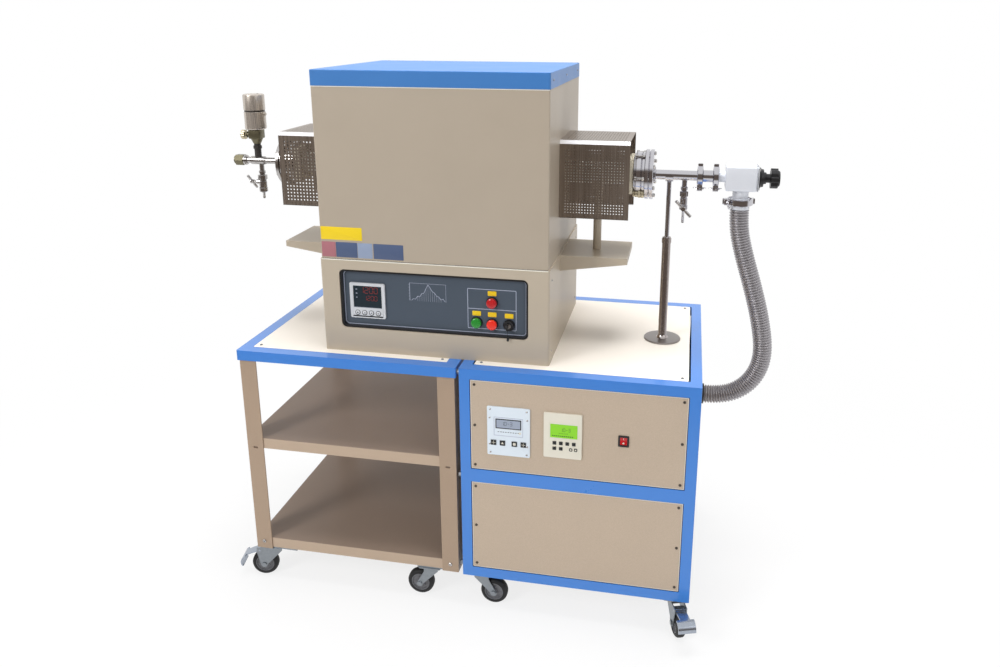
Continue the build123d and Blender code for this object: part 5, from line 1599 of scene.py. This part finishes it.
def makeControlGauge(settings):
    x, z, front = settings["x"], settings["z"], settings["front"]
    width, height = settings["size"]
    bm = bmesh.new()
    addPlate(bm, x, front + 0.0048, z, width + 0.0006, height + 0.0006, 0.0050, 0.003, 0, 0.0010)
    addFrame(bm, 0.074, 0.042, 0.0016, 0.001, (x + 0.003, front - 0.0002, z + 0.014), 0.0006, 0)
    addPlate(bm, x + 0.003, front - 0.0002, z + 0.014, 0.069, 0.037, 0.0004, 0.0006, 1)
    addDigits(bm, "1.0-3", x + 0.007, front - 0.0006, z + 0.018, 0.0085, 0.0002, 2)
    for k in range(11):
        addPlate(bm, x - 0.025 + 0.0050 * k, front - 0.0006, z + 0.0005, 0.0036, 0.0026, 0.0002, 0.0003, 2)
    for k in range(6):
        addPlate(bm, x - 0.008 + 0.0040 * k, front - 0.0006, z + 0.0080, 0.0022, 0.0014, 0.0002, 0.0003, 2)
    for column, row in ((-1.5, 0), (-0.5, 0), (0.5, 0), (1.5, 0), (-1.5, 1), (-0.5, 1)):
        addPlate(
            bm, x + 0.004 + column * 0.0165, front - 0.0002, z - 0.0195 - 0.0150 * row, 0.0098, 0.0098,
            0.0010, 0.0010, 3, 0.0002,
        )
    for column in (1.05, 1.80):
        centre = (x + 0.004 + column * 0.0165, front - 0.0002, z - 0.0350)
        addPlate(bm, centre[0], centre[1], centre[2], 0.0092, 0.0092, 0.0010, 0.0030, 3, 0.0002)
        addPlate(bm, centre[0], centre[1] - 0.0010, centre[2], 0.0042, 0.0042, 0.0002, 0.0014, 0)
    materials = ["plateCream", "lcdGreen", "digitGreen", "blackMoulding"]
    makePiece("controlGaugeFace", bm, "frame", materials)


makeVacuumGauge(vacuumGaugeSettings)
makeControlGauge(controlGaugeSettings)

rockerSettings = {"x": 0.407, "z": 0.545, "panel": -0.289, "pivotY": -0.286, "tilt": 12.0}


def makeRocker(settings):
    x, z, panel = settings["x"], settings["z"], settings["panel"]
    bm = bmesh.new()
    addFrame(bm, 0.0272, 0.0302, 0.0046, 0.002, (x, panel, z), 0.0022, 0)
    makePiece("rockerFrame", bm, "frame", ["blackMoulding"])
    rocker = bmesh.new()
    tilt = math.radians(settings["tilt"])
    reach = 0.0114
    outward = Vector((0, -math.cos(tilt), math.sin(tilt)))
    up = Vector((0, math.sin(tilt), math.cos(tilt)))
    pivot = Vector((x, settings["pivotY"], z))
    endOut, endUp = reach * math.cos(math.radians(52)), reach * math.sin(math.radians(52))
    face = [(0.0055, 0.0)]
    for k in range(1, 6):
        share = k / 5
        face.append((0.0055 + (endOut - 0.0055) * share ** 1.25, endUp * share))
    lower = [(o, -u) for o, u in reversed(face[1:])]
    outline = [(-0.005, -0.006), (0.0, -0.0094)] + lower + face + [(0.0, 0.0094), (-0.005, 0.006)]
    sides = []
    for sideX in (-0.0086, 0.0086):
        shift = Vector((sideX, 0, 0))
        sides.append([rocker.verts.new(pivot + shift + outward * o + up * u) for o, u in outline])
    count = len(outline)
    rocker.faces.new(list(reversed(sides[0])))
    rocker.faces.new(sides[1])
    for k in range(count):
        following = (k + 1) % count
        rocker.faces.new((sides[0][k], sides[0][following], sides[1][following], sides[1][k]))
    middle = pivot + up * -0.0052 + outward * 0.0061
    lean = math.radians(-12)
    slope = (up * math.cos(lean) + outward * math.sin(lean) * -1).normalized()
    ring = ellipseOutline(0.0024, 0.0024, 20)
    addPrism(rocker, ring, middle + outward * 0.0004, (1, 0, 0), slope, 0.0004, 1)
    addPrism(
        rocker, roundedOutline(0.0010, 0.0052, 0.0004, 2), pivot + up * 0.0055 + outward * 0.0066,
        (1, 0, 0), (up + outward * 0.2).normalized(), 0.0004, 1,
    )
    makePiece("rockerPaddle", rocker, "power_rocker", ["stopRed", "plateCream"], ("power_rocker",))


makeRocker(rockerSettings)
print("controls done")

# seams, shelf lips and blank plates

def makeSeams(settings):
    # painted highlight and painted shade where the furnace's sheets meet, and round the cabinet's panels:
    # pale strips for the lit edges, dark strips for the shade in the gaps
    body, base = boxOf("furnace_body"), boxOf("furnace_base")
    left, right = body[0].x + 0.001, settings["right"] - 0.001
    bm = bmesh.new()
    # pale strip under the lid's front: painted highlight
    addBox(
        bm, (left, body[0].y - 0.0006, settings["lidSeam"] - 0.0022),
        (right, body[0].y + 0.0005, settings["lidSeam"] - 0.0004), 0.0002, 1, 0,
    )
    # pale bead on the base's top edge is a painted highlight; the dark strip above it is painted shade under
    # the body
    addBox(
        bm, (left, base[0].y - 0.0003, settings["baseSeam"] - 0.0016),
        (right, base[0].y + 0.002, settings["baseSeam"] + 0.0003), 0.0003, 1, 0,
    )
    addBox(
        bm, (left, body[0].y - 0.0008, settings["baseSeam"] + 0.0003),
        (right, body[0].y + 0.0005, settings["baseSeam"] + 0.0016), 0.0002, 1, 1,
    )
    makePiece("furnaceSeams", bm, "frame", ["edgeHighlightPaint", "gaugeSurroundAndSeamShade"])
    bm = bmesh.new()
    panels = boxOf("cabinet_panels")
    for low, high in settings["panels"]:
        x, z = (settings["panelLeft"] + settings["panelRight"]) / 2, (low + high) / 2
        width, height = settings["panelRight"] - settings["panelLeft"], high - low
        # dark frame just behind each panel's edge: painted shade in the gap; pale frame on the edge: painted
        # highlight
        spot = (x, panels[0].y + 0.0008, z)
        addFrame(bm, width + 0.0030, height + 0.0030, 0.0015, 0.001, spot, 0.0006, 1)
        addFrame(bm, width - 0.0010, height - 0.0010, 0.0010, 0.001, (x, panels[0].y, z), 0.0002, 0)
    makePiece("cabinetSeams", bm, "frame", ["edgeHighlightPaint", "gaugeSurroundAndSeamShade"])


seamSettings = {
    "right": 0.2045, "lidSeam": 1.400, "baseSeam": 0.958,
    "panelLeft": 0.0140, "panelRight": 0.5610, "panels": ((0.1295, 0.3865), (0.4265, 0.6765)),
}
makeSeams(seamSettings)
shelfEdgeSettings = {
    "left": -0.5780, "right": -0.0750, "front": -0.2827, "tops": (0.4480, 0.1350), "lip": 0.0310,
}


def makeShelfEdges(settings):
    # the shelves' front lips between the legs, in a paler copy of the shelf powder: a painted highlight
    # where the lips face the light
    bm = bmesh.new()
    for top in settings["tops"]:
        low = (settings["left"], settings["front"] - 0.0004, top - settings["lip"])
        addBox(bm, low, (settings["right"], settings["front"] + 0.0004, top - 0.0012), 0.0002, 1)
    makePiece("shelfLips", bm, "frame", ["litLipPowder"])


makeShelfEdges(shelfEdgeSettings)


plateSettings = (
    ("yellowPlate", (-0.3365, 1.027), (0.112, 0.034), "plateYellow"),
    ("rosePlate", (-0.3730, 0.984), (0.038, 0.040), "plateRose"),
    ("slatePlateLeft", (-0.3240, 0.984), (0.058, 0.040), "plateSlate"),
    ("silverPlate", (-0.2740, 0.984), (0.040, 0.040), "plateSilver"),
    ("slatePlateRight", (-0.2110, 0.984), (0.080, 0.040), "plateSlate"),
)


def makePlates(settings):
    face = boxOf("furnace_body")[0].y
    for name, (x, z), (width, height), colour in settings:
        bm = bmesh.new()
        addPlate(bm, x, face, z, width, height, 0.0006, 0.0015, 0, 0.0001)
        makePiece(name, bm, "frame", [colour])


makePlates(plateSettings)

# fixing screws: one head repeated over lists of places

def makeScrewTree():
    tree, given, put = newGeometryTree(
        "screwHeads",
        (
            ("Geometry", "NodeSocketGeometry", None),
            ("Head", "NodeSocketObject", None),
            ("Facing", "NodeSocketVector", (0.0, -1.0, 0.0)),
            ("Size", "NodeSocketFloat", 0.0036),
            ("Material", "NodeSocketMaterial", None),
        ),
    )
    link = tree.links.new
    head = tree.nodes.new("GeometryNodeObjectInfo")
    link(given.outputs["Head"], head.inputs["Object"])
    aim = addNode(tree, "FunctionNodeAlignRotationToVector", axis="Z")
    link(given.outputs["Facing"], aim.inputs["Vector"])
    spread = tree.nodes.new("GeometryNodeInstanceOnPoints")
    link(given.outputs["Geometry"], spread.inputs["Points"])
    link(head.outputs["Geometry"], spread.inputs["Instance"])
    link(aim.outputs[0], spread.inputs["Rotation"])
    link(given.outputs["Size"], spread.inputs["Scale"])
    endTree(tree, spread.outputs[0], given, put)
    return tree


def makeScrewHead():
    bm = bmesh.new()
    profile = ((0, 0), (0, 1.0), (0.30, 0.96), (0.48, 0.72), (0.52, 0.46), (0.22, 0.40), (0.22, 0))
    addTurned(bm, (0, 0, 0), upward, profile, 14)
    bmesh.ops.recalc_face_normals(bm, faces=bm.faces)
    mesh = bpy.data.meshes.new("screwHead")
    bm.to_mesh(mesh)
    bm.free()
    head = addObject("screwHead", mesh)
    return head


screwSettings = {
    "cabinet": {"front": -0.2890, "back": 0.3270, "left": -0.0135, "right": 0.5885},
    "cabinetColumns": (0.0245, 0.2875, 0.5505),
    "panelInset": 0.012,
    "boardMiddles": (-0.3265, 0.2875),
    "boardReach": (0.255, 0.262),
    "boardTop": 0.7060,
}


def makeScrews(settings):
    tree = makeScrewTree()
    head = makeScrewHead()
    facings = {
        "front": (0, -1, 0), "right": (1, 0, 0), "left": (-1, 0, 0), "back": (0, 1, 0), "top": (0, 0, 1),
    }
    cabinet, columns, inset = settings["cabinet"], settings["cabinetColumns"], settings["panelInset"]
    front, back = [], []
    for low, high in seamSettings["panels"]:
        for x in (columns[0], columns[2]):
            front += [(x, cabinet["front"], z) for z in (low + inset, (low + high) / 2, high - inset)]
        back += [(x, cabinet["back"], z) for x in columns for z in (low + inset, high - inset)]
    sides = [(y, z) for y in (-0.244, 0.019, 0.282) for z in (0.142, 0.664)]
    sides += [(y, 0.403) for y in (-0.244, 0.282)]
    reachX, reachY = settings["boardReach"]
    corners = [(sx, sy) for sx in (-1, 1) for sy in (-1, 1)]
    boards = [
        (middle + sx * reachX, 0.019 + sy * reachY, settings["boardTop"])
        for middle in settings["boardMiddles"] for sx, sy in corners
    ]
    rear = [(x, 0.2690, z) for x in (-0.375, -0.0955, 0.184) for z in (0.985, 1.375)]
    feet = [(x, -0.2860, 0.1225) for x in (-0.6015, -0.0515)]
    base = [(y, z) for y in (-0.200, 0.238) for z in (0.735, 0.925)]
    lid = [(y, 1.4195) for y in (-0.19, 0.019, 0.228)]
    groups = [
        ("cabinetFrontScrews", front, "front", 0.0038, "darkScrew"),
        (
            "cabinetRightScrews", [(cabinet["right"], *spot) for spot in sides], "right", 0.0036,
            "turnedSteel",
        ),
        ("cabinetLeftScrews", [(cabinet["left"], *spot) for spot in sides], "left", 0.0036, "turnedSteel"),
        ("cabinetBackScrews", back, "back", 0.0036, "turnedSteel"),
        ("boardScrews", boards, "top", 0.0040, "zincPlate"),
        ("furnaceBackScrews", rear, "back", 0.0034, "turnedSteel"),
        ("legFootBolts", feet, "front", 0.0056, "turnedSteel"),
        ("baseRightScrews", [(0.2075, *spot) for spot in base], "right", 0.0030, "turnedSteel"),
        ("baseLeftScrews", [(-0.3985, *spot) for spot in base], "left", 0.0030, "turnedSteel"),
        ("lidRightScrews", [(0.2055, *spot) for spot in lid], "right", 0.0030, "turnedSteel"),
        ("lidLeftScrews", [(-0.3965, *spot) for spot in lid], "left", 0.0030, "turnedSteel"),
    ]
    for name, places, side, size, colour in groups:
        mesh = bpy.data.meshes.new("screwPlaces")
        mesh.from_pydata(places, [], [])
        carrier = addObject("screwPlaces", mesh)
        values = {"Head": head, "Facing": facings[side], "Size": size, "Material": finish[colour]}
        made = runTree(tree, values, carrier)
        made.materials.clear()
        placePiece(name, made, "frame", [colour])
    bpy.data.objects.remove(head)


makeScrews(screwSettings)
print("screws done")

# studio: floor, sky and lamps

studioSettings = {
    "floorSize": 60.0,
    "floorColour": "#F6F6F6",
    "skyLight": 0.50,
    # painted reflection: a dim room tone ahead of the object that only mirrored rays see
    "reflectedRoomColour": "#6F645C",
    "reflectedRoomStart": (0.9, 2.6),
    "reflectedRoomRise": 1.1,
    "reflectedRoomSkyStart": (0.05, 0.55),
    "lamps": (
        ("keyLamp", (-2.6, -3.6, 3.4), 1.6, 92.0, True),
        ("fillLamp", (3.4, -2.6, 2.4), 1.2, 14.0, True),
        ("topLamp", (0.2, 0.1, 4.2), 2.4, 125.0, False),
    ),
}


def addPaintedRoomReflection(tree, ahead, span, glossy, settings, shader):
    # painted reflection: mirrored rays see the pale backdrop behind and a dimmer room tone ahead of the
    # object, a room the camera itself never sees
    dim = addNode(
        tree, "ShaderNodeMapRange", {"From Min": span[0], "From Max": span[1]},
        interpolation_type="SMOOTHSTEP",
    )
    tree.links.new(ahead, dim.inputs["Value"])
    tone = addNode(
        tree, "ShaderNodeMix", {"A": (1, 1, 1, 1), "B": paint(settings["reflectedRoomColour"])}, data_type="RGBA",
    )
    tree.links.new(mathNode(tree, "MULTIPLY", dim.outputs["Result"], glossy), tone.inputs["Factor"])
    tree.links.new(tone.outputs["Result"], shader.inputs["Color"])


def addVisibility(tree):
    # 1 for rays that see the backdrop itself, and 1 for those of them that are mirrored
    path = tree.nodes.new("ShaderNodeLightPath").outputs
    direct = mathNode(tree, "MAXIMUM", path["Is Camera Ray"], path["Is Glossy Ray"])
    return mathNode(tree, "MAXIMUM", direct, path["Is Transmission Ray"]), path["Is Glossy Ray"]


def makeStudio(settings):
    bm = bmesh.new()
    half = settings["floorSize"] / 2
    corners = ((-half, -half, 0), (half, -half, 0), (half, half, 0), (-half, half, 0))
    bm.faces.new([bm.verts.new(corner) for corner in corners])
    mesh = bpy.data.meshes.new("studioFloor")
    bm.to_mesh(mesh)
    bm.free()
    floor = addObject("studioFloor", mesh)
    material = bpy.data.materials.new("studioFloor")
    material.use_nodes = True
    tree = material.node_tree
    shader = tree.nodes["Principled BSDF"]
    shader.inputs["Base Color"].default_value = paint(settings["floorColour"])
    shader.inputs["Roughness"].default_value = 0.9
    shader.inputs["Specular IOR Level"].default_value = 0.0
    white = tree.nodes.new("ShaderNodeEmission")
    place = tree.nodes.new("ShaderNodeTexCoord")
    distance = addNode(tree, "ShaderNodeVectorMath", operation="LENGTH")
    tree.links.new(place.outputs["Object"], distance.inputs[0])
    near = addNode(
        tree, "ShaderNodeMapRange", {"From Min": 0.6, "From Max": 2.4, "To Min": 0.80, "To Max": 1.0},
        interpolation_type="SMOOTHSTEP",
    )
    tree.links.new(distance.outputs["Value"], near.inputs["Value"])
    visible, glossy = addVisibility(tree)
    apart = tree.nodes.new("ShaderNodeSeparateXYZ")
    tree.links.new(place.outputs["Object"], apart.inputs[0])
    ahead = mathNode(tree, "MULTIPLY", apart.outputs["Y"], -1.0)
    addPaintedRoomReflection(tree, ahead, settings["reflectedRoomStart"], glossy, settings, white)
    share = mathNode(tree, "MULTIPLY", visible, near.outputs["Result"])
    mix = tree.nodes.new("ShaderNodeMixShader")
    tree.links.new(share, mix.inputs[0])
    tree.links.new(shader.outputs[0], mix.inputs[1])
    tree.links.new(white.outputs[0], mix.inputs[2])
    tree.links.new(mix.outputs[0], tree.nodes["Material Output"].inputs["Surface"])
    mesh.materials.append(material)
    world = bpy.data.worlds.new("studioSky")
    bpy.context.scene.world = world
    world.use_nodes = True
    sky = world.node_tree
    background = sky.nodes["Background"]
    visible, glossy = addVisibility(sky)
    facingWay = sky.nodes.new("ShaderNodeTexCoord")
    apart = sky.nodes.new("ShaderNodeSeparateXYZ")
    sky.links.new(facingWay.outputs["Generated"], apart.inputs[0])
    rise = mathNode(
        sky, "MULTIPLY", mathNode(sky, "MAXIMUM", apart.outputs["Z"], 0.0), settings["reflectedRoomRise"],
    )
    ahead = mathNode(sky, "SUBTRACT", mathNode(sky, "MULTIPLY", apart.outputs["Y"], -1.0), rise)
    addPaintedRoomReflection(sky, ahead, settings["reflectedRoomSkyStart"], glossy, settings, background)
    strength = mathNode(sky, "MULTIPLY_ADD", visible, 1.0 - settings["skyLight"], settings["skyLight"])
    sky.links.new(strength, background.inputs["Strength"])
    for name, place, size, power, mirrored in settings["lamps"]:
        data = bpy.data.lights.new(name, "AREA")
        data.shape = "DISK"
        data.size = size
        data.energy = power
        lamp = bpy.data.objects.new(name, data)
        lamp.location = place
        lamp.visible_glossy = mirrored
        lamp.rotation_euler = (Vector((0, 0, 0.8)) - Vector(place)).to_track_quat("-Z", "Y").to_euler()
        bpy.context.scene.collection.objects.link(lamp)
    bpy.context.scene.view_settings.view_transform = "Standard"


makeStudio(studioSettings)
print("studio ready")
